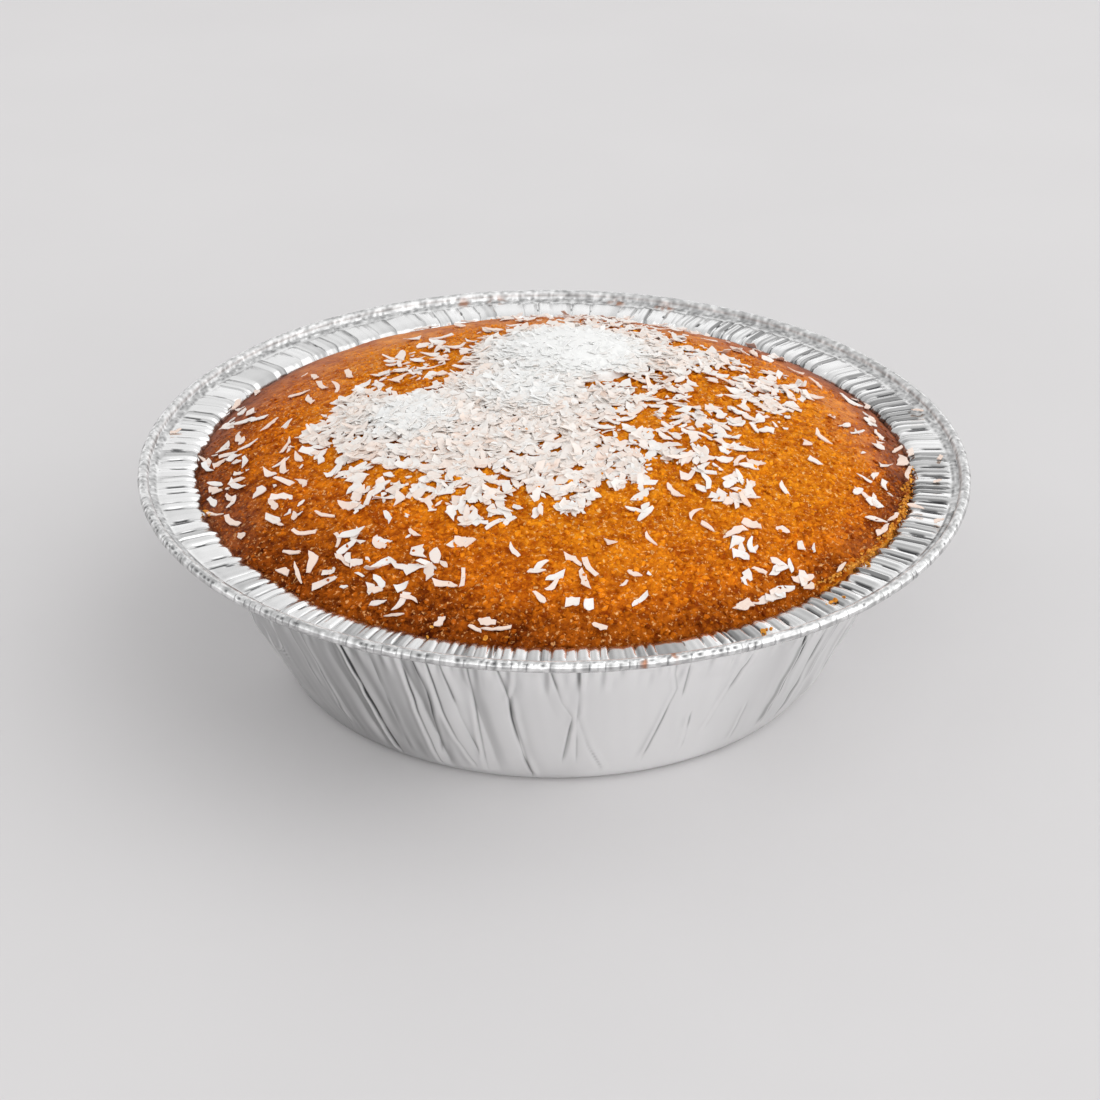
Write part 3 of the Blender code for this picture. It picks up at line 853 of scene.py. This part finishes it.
def crust_material():
    """Baked semolina soaked with syrup: amber to red-brown and granular. Its colour has painted shade down
    in its relief and in its pits, and small wet glints that are partly real gloss and partly painted
    highlights.
    """
    made, tree, shader = new_material("crust")
    place = object_place(tree)
    brown, stand, skin = (attribute(tree, name) for name in ("browning_and_shade", "stand", "skin"))
    wander = node(tree, "TexNoise", {"Vector": place, "Scale": 450, "Detail": 2})
    wander = node(tree, "VectorMath", {0: wander.outputs["Color"], "Scale": 1.6 * MM}, operation="SCALE")
    warped = node(tree, "VectorMath", {0: place, 1: wander.outputs[0]}, operation="ADD").outputs[0]
    crumbs = node(tree, "TexVoronoi", {"Vector": warped, "Scale": 760})
    own = cell_number(tree, crumbs)
    sparks = noise(tree, warped, 1150, 2, 0.65)
    rubble = noise(tree, place, 640, 5, 0.74)
    hollows = noise(tree, warped, 380, 2)
    mottle = noise(tree, place, 130, 3, 0.6)

    low, high = ramp(tree, brown, *SHADED_CRUMB), ramp(tree, brown, *LIT_CRUMB)
    share = linear(tree, rubble, 2.2, -1.1)
    share = linear(tree, mottle, 0.9, share)
    share = linear(tree, own, 0.2, share)
    # Painted shade: the crumb is painted darker where it stands low in its relief, lighter on top.
    share = linear(tree, stand, 0.6, math_node(tree, "ADD", share, -0.34), clamp=True)
    colour = mixed(tree, share, low, high)
    # Painted shade in the pits.
    pits = node(tree, "TexVoronoi", {"Vector": warped, "Scale": 400})
    deep = times(tree, linear(tree, cell_number(tree, pits), 3, -1.2, clamp=True), 0.8)
    near = linear(tree, pits.outputs["Distance"], -9, 2.2, clamp=True)
    shaded_pits = grey_ramp(tree, hollows, (0.60, 0), (0.68, 1))
    shaded_pits = math_node(tree, "MAXIMUM", shaded_pits, times(tree, deep, near))
    mottled = math_node(tree, "ADD", linear(tree, mottle, -1.6, 0.8), brown)
    mottled = math_node(tree, "ADD", linear(tree, rubble, -1.1, 0.55), mottled, clamp=True)
    skin_colour = ramp(tree, mottled, *SKIN)
    colour = mixed(tree, times(tree, skin, 0.75), colour, skin_colour)
    colour = mixed(tree, times(tree, shaded_pits, 0.75), colour, low)
    # Small glints: more gloss, and a painted highlight in a pale peach colour.
    glint = linear(tree, sparks, 12, -7.2, clamp=True)
    glint = times(tree, glint, linear(tree, skin, -1.3, 1.0, clamp=True))
    painted_glint = ramp(tree, brown, (0, (1.0, 0.66, 0.25)), (1, (0.95, 0.46, 0.15)))
    colour = mixed(tree, times(tree, glint, 0.75), colour, painted_glint)

    rough = grey_ramp(tree, glint, (0.0, 0.65), (0.6, 0.22))
    sheen = grey_ramp(tree, glint, (0.1, 0.05), (0.7, 0.45))
    sheen = linear(tree, skin, 0.3, sheen)
    relief = linear(tree, crumbs.outputs["Distance"], -0.35, rubble)
    relief = linear(tree, shaded_pits, -0.35, relief)
    depth = linear(tree, skin, -0.5, 1.0)
    normal = bumped(tree, relief, depth, 0.7 * MM)
    let_light_in(tree, shader, 0.1, (1.0, 0.35, 0.08), 1.0 * MM)
    connect(tree, shader, Base_Color=colour, Roughness=rough, Specular_IOR_Level=sheen, Normal=normal)
    return made


def make_cake(material):
    def top(x, y):
        relief, _ = crust_relief(x, y)
        return np.stack([x, y, dome_height(x, y) + relief], axis=1)

    skirt = ((0.992, 41.6 * MM), (0.955, 37.5 * MM), (0.735, 2.6 * MM))
    values = {"browning_and_shade": browning_and_shade, "stand": lambda x, y: crust_relief(x, y)[1], "skin": skin_share}
    return domed_solid("cake_crust", CAKE_GRID, CAKE_RADIUS + 0.2 * MM, top, skirt, material, values)


CRUMB_SPACING = 1.28 * MM
CRUMB_SIZES = (0.40 * MM, 0.90 * MM)  # radius
GOLDEN_CRUMBS = 260  # pale ones along the edge where the crust has broken away
# Crumbs on the foil: x, y and radius in mm.
RIM_CRUMBS = (
    (55.6, -62.1, 0.9), (54.7, -62.8, 0.5), (53.7, -63.7, 0.4), (57.4, -60.6, 0.4), (42.2, -73.2, 0.5),
    (40.6, -74.0, 0.7), (41.3, -73.4, 0.4), (-72.6, -26.7, 0.7), (-71.8, -27.8, 0.5), (-73.2, -25.9, 0.4),
    (-23.5, -73.4, 0.5), (-24.1, -77.2, 0.5), (-13.0, -77.5, 0.6), (-8.9, -77.0, 0.5), (63.6, -47.0, 0.6),
)


def ball():
    """A small faceted ball of radius 1: its points and faces."""
    long = (1 + math.sqrt(5)) / 2
    points = [(0, a, b * long) for a in (-1, 1) for b in (-1, 1)]
    points = points + [(x, y, z) for z, x, y in points] + [(x, y, z) for y, z, x in points]
    points = np.array(points) / math.hypot(1, long)
    faces = []
    for i in range(12):
        for j in range(i + 1, 12):
            for k in range(j + 1, 12):
                sides = (points[i] - points[j], points[j] - points[k], points[k] - points[i])
                if max(np.linalg.norm(side) for side in sides) < 1.2:
                    outward = np.dot(np.cross(sides[0], sides[1]), points[i]) > 0
                    faces.append((i, j, k) if outward else (i, k, j))
    return points, np.array(faces)


def lying_height(x, y):
    """Height of what crumbs and shreds lie on: the dome, and beyond it the foil's flange."""
    outward = smooth((np.hypot(x, y) - 75 * MM) / (3 * MM))
    return dome_height(x, y) + outward * (FLANGE_HEIGHT + 0.4 * MM - CAKE_EDGE_HEIGHT)


def any_turns(draw, count):
    """Rotation matrices drawn evenly from all directions."""
    w, x, y, z = np.moveaxis(draw.normal(0, 1, (count, 4)), 1, 0)
    w, x, y, z = np.array([w, x, y, z]) / np.sqrt(w * w + x * x + y * y + z * z)
    rows = (
        (1 - 2 * (y * y + z * z), 2 * (x * y - w * z), 2 * (x * z + w * y)),
        (2 * (x * y + w * z), 1 - 2 * (x * x + z * z), 2 * (y * z - w * x)),
        (2 * (x * z - w * y), 2 * (y * z + w * x), 1 - 2 * (x * x + y * y)),
    )
    return np.moveaxis(np.array(rows), 2, 0)


def crumb_places(draw):
    """Middle, radius and look of each crumb: x, y, height, size, how dark it is baked and shaded, stand and
    skin.
    """
    count = int(2 * CAKE_RADIUS / CRUMB_SPACING)
    x, y = np.meshgrid(np.arange(count) - count / 2.0, (np.arange(count * 1.155) - count * 0.5775) * 0.866)
    x = (x + 0.5 * (np.arange(x.shape[0]) % 2)[:, None]).ravel() + draw.uniform(-0.5, 0.5, x.size)
    y = y.ravel() + draw.uniform(-0.5, 0.5, y.size)
    x, y = x * CRUMB_SPACING, y * CRUMB_SPACING
    kept = (np.hypot(x, y) < CAKE_RADIUS - 0.5 * MM) & (heap_height(x, y) < 0.5 * MM)
    kept &= skin_share(x, y) < 0.35 + 0.6 * draw.random(x.size)
    x, y = x[kept], y[kept]
    skin = skin_share(x, y)
    small, large = CRUMB_SIZES
    size = (small + (large - small) * draw.random(x.size) ** 1.5) * (1 - 0.45 * skin)
    size = size * (0.75 + 0.25 * smooth(0.5 + (x - y) / (60 * MM)))
    height = dome_height(x, y) + crust_relief(x, y)[0] - draw.uniform(-0.1, 0.5, x.size) * size
    crust = (x, y, height, size, browning_and_shade(x, y), draw.uniform(-0.1, 1.3, x.size), 0.6 * skin)

    angle = GOLDEN_MIDDLE + GOLDEN_HALF * draw.uniform(-0.9, 0.9, GOLDEN_CRUMBS)
    radius = CAKE_RADIUS + draw.normal(-0.6, 0.6, GOLDEN_CRUMBS) * MM
    x, y = radius * np.cos(angle), radius * np.sin(angle)
    rim_x, rim_y, rim_size = np.array(RIM_CRUMBS).T * MM
    x, y = np.append(x, rim_x), np.append(y, rim_y)
    size = np.append(draw.uniform(0.18, 0.42, GOLDEN_CRUMBS) * MM, rim_size)
    spilt = (x, y, lying_height(x, y) + 0.1 * size, size, 0 * x, draw.uniform(0.2, 1.2, x.size), 0 * x)
    return np.concatenate([crust, spilt], axis=1)


def make_crumbs(material):
    """The crust's coarse crumbs, half sunk in it where no heap hides them, and the few spilt on the foil."""
    draw = np.random.default_rng(SEED + 3)
    x, y, height, size, brown, stand, skin = crumb_places(draw)
    shape, faces = ball()
    stretch = draw.uniform(0.55, 1.35, (x.size, 1, 3)) * draw.uniform(0.62, 1.2, (x.size, len(shape), 1))
    lumps = np.einsum("nij,nkj->nki", any_turns(draw, x.size), shape[None] * stretch)
    lumps = lumps * size[:, None, None] * np.array([1, 1, 0.8])
    points = (lumps + np.stack([x, y, height], axis=1)[:, None]).reshape(-1, 3)
    faces = (faces[None] + len(shape) * np.arange(x.size)[:, None, None]).reshape(-1, 3).tolist()
    each = {"browning_and_shade": brown, "stand": stand, "skin": skin}
    values = {key: np.repeat(value, len(shape)) for key, value in each.items()}
    return mesh_object("cake_crumbs", points, faces, material, values, sharp_angle=math.radians(32))


# ------------ the coconut

CORE_GRID = 130
CORE_RADIUS = 56 * MM

# Where the shreds lie: patches of (x, y, half length, half width, turn in degrees, cover), lengths in mm.
# Cover is the share of the crust that they hide there.
PATCHES = (
    (2, 24, 21, 18, 0, 0.9), (8, 42, 16, 12, 0, 0.6), (-10, 8, 16, 10, 30, 0.9), (-4, -2, 22, 10, 0, 0.9),
    (-29, -8, 12, 8, 0, 0.95), (-14, -12, 18, 12, 0, 0.90), (-10, -24, 22, 8, 0, 0.76),
    (-10, -34, 24, 6, 0, 0.6), (-26, -30, 10, 9, 0, 0.5), (-46, -8, 7, 7, 0, 0.9),
    (-39, -4, 6, 6, 0, 0.95), (6, -8, 12, 8, 0, 0.5),
    (10, -22, 12, 8, 0, 0.6), (8, -33, 14, 6, 0, 0.6), (3, -43, 6, 5, 0, 0.6), (-14, -44, 7, 5, 0, 0.65),
    (-25, -42, 6, 4, 0, 0.3), (-42, -27, 4, 8, 0, 0.5), (-36, -37, 6, 4, 0, 0.5), (17, -40, 5, 5, 0, 0.35),
    (27, 28, 11, 12, 0, 0.6), (24, 12, 7, 10, 0, 0.65), (36, 20, 8, 10, 0, 0.4), (46, 8, 7, 9, 0, 0.65),
    (51, 18, 6, 8, 0, 0.4), (27, -4, 8, 6, 0, 0.4), (30, -14, 9, 7, 0, 0.45), (42, -5, 7, 5, 0, 0.4),
    (27, -25, 6, 5, 0, 0.5), (35, -33, 6, 6, 0, 0.45), (38, -22, 5, 4, 0, 0.3), (-29, 25, 9, 7, -20, 0.33),
    (-33, 14, 9, 6, 0, 0.35), (-42, 2, 6, 6, 0, 0.8), (-28, 38, 5, 4, 0, 0.3), (-14, 42, 6, 4, 0, 0.2),
    (-8, 62, 5, 10, 0, 0.3), (10, 60, 10, 12, 0, 0.35), (30, 55, 6, 10, 0, 0.2), (-28, 62, 8, 8, 0, 0.08),
    (-32, -21, 9, 6, 0, 0.85), (-40, -19, 6, 5, 0, 0.6), (-38, -55, 20, 10, -20, 0.13),
    (-69, -8, 6, 30, 0, 0.15), (68, -5, 6, 32, 0, 0.10), (45, -54, 12, 9, 30, 0.13),
    (8, -64, 18, 7, 0, 0.08), (45, 44, 10, 8, 0, 0.10),
    (-54, -18, 8, 20, 0, 0.12), (42, -63, 7, 3, 40, 0.45), (0, 0, 70, 70, 0, 0.006),
)
SHRED_AREA = 3.0  # mm2 that one hides, on average
SHRED_REACH = 0.975 * CAKE_RADIUS
# The larger shreds that lie apart, some over the cake's edge or on the foil, group by group round the dome:
# x, y, turn in degrees, length and width in mm.
LOOSE_SHREDS = (
    # front left
    (-64, -38, -55, 4, 2), (-57, -38, -40, 5, 1), (-51, -44, -35, 5, 1), (-47, -40, -50, 5, 1),
    (-42, -39, -25, 5, 2), (-53, -48, -35, 4, 1), (-43, -48, -75, 4, 1), (-54, -52, -35, 3, 2),
    (-51, -54, -70, 6, 1), (-48, -52, -85, 5, 2), (-42, -53, -20, 4, 1.5), (-35, -51, -65, 4, 2),
    (-28, -50, -50, 3, 1), (-35, -63, -20, 3, 1.5),
    # front
    (-18, -54, -30, 4, 2.5), (-8, -57, -65, 4, 1), (-21, -64, -15, 5, 1.5), (-28, -66, -25, 4, 1),
    (-31, -69, -20, 5, 1), (-22, -72, 65, 3, 1.5), (-13, -73, -40, 3.5, 2), (-15, -74, -25, 3, 1),
    (-11, -75, -20, 5, 1), (4, -59, -25, 4, 1.5), (6, -64, -80, 5, 1.5), (11, -54, -60, 3, 2),
    (19, -53, -70, 4, 1), (16, -62, -20, 3, 1), (9, -74, -30, 3, 1.5),
    # front right
    (28, -44, 60, 4.5, 1), (31, -47, -35, 3.5, 1.5), (36, -47, 40, 5.5, 1.5), (40, -44, -20, 4, 2),
    (24, -38, -65, 4.5, 1.5), (36, -38, 50, 4, 2), (41, -56, -20, 3, 1), (50, -55, 20, 5, 2),
    (51, -57, 45, 3, 2), (37, -65, 35, 4, 1.5), (58, -49, 60, 4.5, 1), (42, -23, 15, 3.5, 2),
    (38, -24, 70, 4.5, 1),
    # right
    (68, -33, 55, 5.5, 1.5), (71, -28, 50, 4, 1), (65, -23, -30, 5, 1.5), (76, -23, -15, 3.5, 1.5),
    (54, -10, 80, 4, 2), (57, -6, -70, 6, 1.5), (76, -8, 75, 6, 1), (76, -1, 75, 4.5, 2.5),
    (78, 3, 90, 3, 1.5), (75, 4, 65, 5.5, 1), (61, 7, 60, 4.5, 2), (71, 16, -85, 4, 2),
    (58, 17, 0, 3.5, 2.5), (71, 26, 75, 4.5, 1.5), (68, 28, 85, 4.5, 2), (80, -29, 40, 2.5, 1),
    (82, -11, 30, 2, 1), (84, 0, 80, 2.5, 1), (82, 24, 0, 2.5, 1),
    # back right
    (55, 24, 90, 5, 1), (60, 29, -40, 4.5, 1.5), (55, 34, -40, 4.5, 1.5), (48, 25, -15, 3.5, 2),
    (42, 40, 90, 3.5, 2.5), (46, 42, 90, 3.5, 2),
    # left
    (-68, 31, -75, 4.5, 1.5), (-72, 25, 85, 4.5, 1.5), (-54, 26, -70, 5, 1.5), (-46, 21, -75, 5, 1.5),
    (-52, 17, -75, 5.5, 1.5), (-57, 16, 0, 4.5, 2), (-48, 14, -70, 5, 1), (-54, 10, -60, 5.5, 1.5),
    (-62, 2, 50, 4.5, 1.5), (-69, 1, -75, 6, 1.5), (-76, -3, -65, 5.5, 1), (-72, -7, 20, 3.5, 2),
    (-57, -10, 70, 6, 1), (-72, -18, -50, 4, 2), (-54, -17, -70, 5, 1.5), (-51, -16, -50, 4.5, 1.5),
    (-57, -20, -75, 6, 1.5), (-68, -24, -70, 4.5, 1.5), (-71, -28, -30, 4, 1), (-67, -32, -55, 5.5, 1.5),
    (-58, -32, -60, 4.5, 1.5), (-52, -27, -70, 4, 1.5), (-84, 11, 20, 2.5, 1),
)


def place_shreds():
    """Places of all shreds, as an array of x and y."""
    draw = np.random.default_rng(SEED)
    found = []
    for x, y, length, width, turn, cover in PATCHES:
        count = round(-math.log(1 - cover) * math.pi * length * width / SHRED_AREA)
        angle = draw.uniform(0, TURN, count)
        away = np.sqrt(draw.random(count)) + draw.normal(0, 0.12, count)
        along, across = length * away * np.cos(angle), width * away * np.sin(angle)
        turn = math.radians(turn)
        turned_x = x + along * math.cos(turn) - across * math.sin(turn)
        turned_y = y + along * math.sin(turn) + across * math.cos(turn)
        found.append(np.stack([turned_x, turned_y], axis=1))
    places = np.concatenate(found) * MM
    places = places[np.hypot(places[:, 0], places[:, 1]) < SHRED_REACH]
    return draw.permutation(places)


def frames_on_dome(x, y, draw, tilt, turns):
    """For each place, three directions: along the shred, across it, and up from it."""
    outward = smooth((np.hypot(x, y) - 73 * MM) / (4 * MM))[:, None]
    up = dome_normal(x, y) * (1 - outward) + outward * np.array([0, 0, 1])
    lean = np.stack([draw.normal(0, 1, len(x)), draw.normal(0, 1, len(x)), np.zeros(len(x))], axis=1)
    up = up + lean * tilt[:, None]
    up /= np.linalg.norm(up, axis=1, keepdims=True)
    angle = draw.uniform(0, TURN, len(x)) if turns is None else turns
    along = np.stack([np.cos(angle), np.sin(angle), np.zeros(len(x))], axis=1)
    along -= up * (along * up).sum(axis=1, keepdims=True)
    along /= np.linalg.norm(along, axis=1, keepdims=True)
    return along, np.cross(up, along), up


def shreds(name, x, y, length, width, thickness, sections, material, draw, turns=None):
    """Strips of coconut as one mesh. Each has a ragged outline and blunt ends, and is bent and twisted."""
    count = len(x)
    pile = heap_height(x, y)
    heaped = smooth(pile / (1.2 * MM))
    deep = smooth(pile / (3 * MM))
    tilt = (0.05 + 0.3 * draw.random(count) ** 2) * (1 - 0.6 * deep)
    tilt = tilt if turns is None else 0.6 * tilt
    along, across, up = frames_on_dome(x, y, draw, tilt, turns)
    relief, _ = crust_relief(x, y)
    uneven = draw.uniform(-0.25, 0.2, count) * MM * heaped * (1 - 0.5 * deep)
    sit = np.where(pile > 0.3 * MM, 0.1 * MM, relief + 0.35 * MM) + pile + uneven
    sit = sit + tilt * length * 0.15 + thickness * 0.3 - 0.4 * MM * deep
    middle = np.stack([x, y, lying_height(x, y) + sit], axis=1)

    share = np.linspace(-1, 1, sections)[None, :]
    ragged = draw.uniform(0.6, 1.2, (count, sections, 2))
    end = draw.uniform(0.1, 1.1, (count, 2, 1))
    taper = 1 - (1 - np.where(share < 0, end[:, 0], end[:, 1])) * np.abs(share) ** 2
    half = width[:, None, None] / 2 * taper[:, :, None] * ragged
    bow = draw.normal(0, 0.07, (count, 1)) * length[:, None] * share**2
    kink = draw.normal(0, 0.16, (count, 1)) * length[:, None]
    kink = kink * np.maximum(share - draw.uniform(-0.4, 0.6, (count, 1)), 0)
    rise = draw.uniform(-0.02, 0.10, (count, 1)) * length[:, None] * share**2
    rise = rise + draw.normal(0, 0.04, (count, sections)) * MM
    twist = draw.normal(0, 0.2, (count, 1)) * share
    skew = draw.uniform(-0.9, 0.9, (count, 2))
    slant = np.where(share < 0, skew[:, :1], skew[:, 1:]) * np.abs(share) ** 3

    corners = []
    for side, face in ((1, 1), (-1, 1), (-1, -1), (1, -1)):
        out = side * half[:, :, 0 if side > 0 else 1]
        lift = rise + face * thickness[:, None] / 2 + out * twist
        run = length[:, None] / 2 * share + out * slant
        offset = run[..., None] * along[:, None] + (out + bow + kink)[..., None] * across[:, None]
        corners.append(middle[:, None] + offset + lift[..., None] * up[:, None])
    points = np.stack(corners, axis=2)

    base = (np.arange(count) * sections * 4)[:, None]
    faces = []
    for section in range(sections - 1):
        for corner in range(4):
            beside = (corner + 1) % 4
            quad = np.array([corner, beside, beside + 4, corner + 4]) + 4 * section
            faces.append(base + quad[None, ::-1])
    faces.append(base + np.array([[0, 1, 2, 3]]))
    faces.append(base + np.array([[3, 2, 1, 0]]) + 4 * (sections - 1))
    faces = np.concatenate(faces).tolist()
    white = np.clip((0.45 if turns is None else 0.10) + 0.5 * deep + draw.normal(0, 0.12, count), 0, 1)
    white = np.repeat(white, sections * 4)
    return mesh_object(name, points, faces, material, {"white": white}, sharp_angle=math.radians(35))


# The coconut's colours, by its whiteness.
COCONUT = ((0.3, (0.82, 0.66, 0.57)), (0.55, (0.81, 0.76, 0.72)), (0.8, (0.825, 0.825, 0.815)))
# The scattered shreds' kinds: name, where their share ends, lengths, widths and thicknesses in mm, sections.
SHRED_KINDS = (
    ("coconut_strips", 0.42, (2.6, 5.4), (1.0, 2.1), (0.12, 0.22), 5),
    ("coconut_chips", 0.72, (2.2, 4.2), (1.5, 2.8), (0.12, 0.20), 5),
    ("coconut_bits", 1.0, (0.8, 2.2), (0.6, 1.1), (0.12, 0.20), 3),
)
LOOSE_THICKNESS = (0.15, 0.25)
LOOSE_SECTIONS = 7


def coconut_material():
    """Dry white coconut that lets a little light through."""
    made, tree, shader = new_material("coconut")
    fibre = noise(tree, object_place(tree), 900, 3, 0.6)
    share = linear(tree, fibre, 0.3, times(tree, attribute(tree, "white"), 0.8))
    colour = ramp(tree, share, *COCONUT)
    normal = bumped(tree, fibre, 0.12, 0.1 * MM)
    let_light_in(tree, shader, 0.15, (1.0, 0.96, 0.92), 0.6 * MM)
    connect(tree, shader, Base_Color=colour, Roughness=0.6, Specular_IOR_Level=0.2, Normal=normal)
    return made


def make_coconut(material):
    def top(x, y):
        nearest, second, own = grains(x, y, 1.7 * MM, 91)
        bumps = 0.25 * MM * np.clip((second - nearest) * 1.3, 0, 1) * own
        pile = heap_height(x, y) + 0.45 * MM * smooth((heap_height(x, y) - 1.2 * MM) / (1.5 * MM))
        buried = smooth((1.6 * MM - pile) / (0.7 * MM)) * 2.2 * MM
        return np.stack([x, y, dome_height(x, y) + pile - 0.4 * MM + bumps - buried], axis=1)

    values = {"white": lambda x, y: 0.6 + 0.4 * smooth(heap_height(x, y) / (3 * MM))}
    made = [domed_solid("coconut_heap", CORE_GRID, CORE_RADIUS, top, ((1.0, 48 * MM),), material, values)]
    draw = np.random.default_rng(SEED + 2)
    places = place_shreds()
    kinds = draw.random(len(places))

    x, y, turns, length, width = np.array(LOOSE_SHREDS).T
    thickness = draw.uniform(*LOOSE_THICKNESS, len(x)) * MM
    loose = (x * MM, y * MM, length * MM, width * MM, thickness, LOOSE_SECTIONS)
    made.append(shreds("coconut_loose", *loose, material, draw, np.radians(turns)))
    start = 0
    for name, end, *ranges, sections in SHRED_KINDS:
        x, y = places[(kinds >= start) & (kinds < end)].T
        sizes = [draw.uniform(low, high, len(x)) * MM for low, high in ranges]
        made.append(shreds(name, x, y, *sizes, sections, material, draw))
        start = end
    return made


# ------------ studio

SKY_STRENGTH = 1.42
KEY_PLACE = (0.95, -0.45, 1.30)
KEY_SIZE = 2.2
KEY_POWER = 8.0  # watts


def make_camera():
    made = add_object("camera", bpy.data.cameras.new("camera"))
    made.data.lens = LENS
    made.data.clip_start = 0.01
    back = Vector((0, -math.cos(CAMERA_ELEVATION), math.sin(CAMERA_ELEVATION)))
    place = Matrix.Translation(Vector((0, 0, BEAD_HEIGHT)) + back * CAMERA_DISTANCE)
    pan = Matrix.Rotation(CAMERA_PAN, 4, "Z")
    tilt = Matrix.Rotation(math.pi / 2 - CAMERA_ELEVATION - CAMERA_DIP, 4, "X")
    made.matrix_world = place @ pan @ tilt @ Matrix.Rotation(CAMERA_ROLL, 4, "Z")
    bpy.context.scene.camera = made


def area_light(name, place, target, size, power):
    light = bpy.data.lights.new(name, "AREA")
    light.shape = "SQUARE"
    light.size = size
    light.energy = power
    made = add_object(name, light)
    made.visible_camera = False
    made.location = place
    aim = Vector(target) - Vector(place)
    made.rotation_euler = aim.to_track_quat("-Z", "Y").to_euler()


def make_studio():
    world = bpy.data.worlds.new("studio")
    bpy.context.scene.world = world
    world.use_nodes = True
    tree = world.node_tree
    toward = node(tree, "SeparateXYZ", {0: node(tree, "TexCoord").outputs["Generated"]}).outputs
    sky = grey_ramp(tree, toward["Z"], (0.0, 1.0), (0.15, 0.98), (0.4, 0.78), (0.75, 0.64), (1.0, 0.62))
    bright = math_node(tree, "SUBTRACT", toward["X"], toward["Y"])  # the front right is the bright side
    bright = linear(tree, bright, 0.20, 1.0)
    sky = node(tree, "VectorMath", {0: sky, "Scale": bright}, operation="SCALE").outputs[0]
    fill(tree, tree.nodes["Background"], {"Color": sky, "Strength": SKY_STRENGTH})
    area_light("key", KEY_PLACE, (0, 0, 0.03), KEY_SIZE, KEY_POWER)

    made, tree, shader = new_material("floor")
    cloud = noise(tree, object_place(tree), 9, 3)
    colour = ramp(tree, cloud, (0.3, (0.625, 0.613, 0.617)), (0.7, (0.645, 0.633, 0.637)))
    connect(tree, shader, Base_Color=colour, Roughness=0.6, Specular_IOR_Level=0.2)
    bpy.ops.mesh.primitive_plane_add(size=12)
    floor = bpy.context.object
    floor.name = "floor"
    floor.data.materials.append(made)
    bpy.context.scene.view_settings.view_transform = "Standard"


# ------------ all together


def main():
    make_camera()
    make_studio()
    foil = foil_material()
    for tin in (make_wall(foil), make_rim(foil)):
        piece(tin, "foil", "foil_tin")
    crust = crust_material()
    for cake in (make_cake(crust), make_crumbs(crust)):
        piece(cake, "cake", "cake")
    for coconut in make_coconut(coconut_material()):
        piece(coconut, "coconut", "cake")


main()
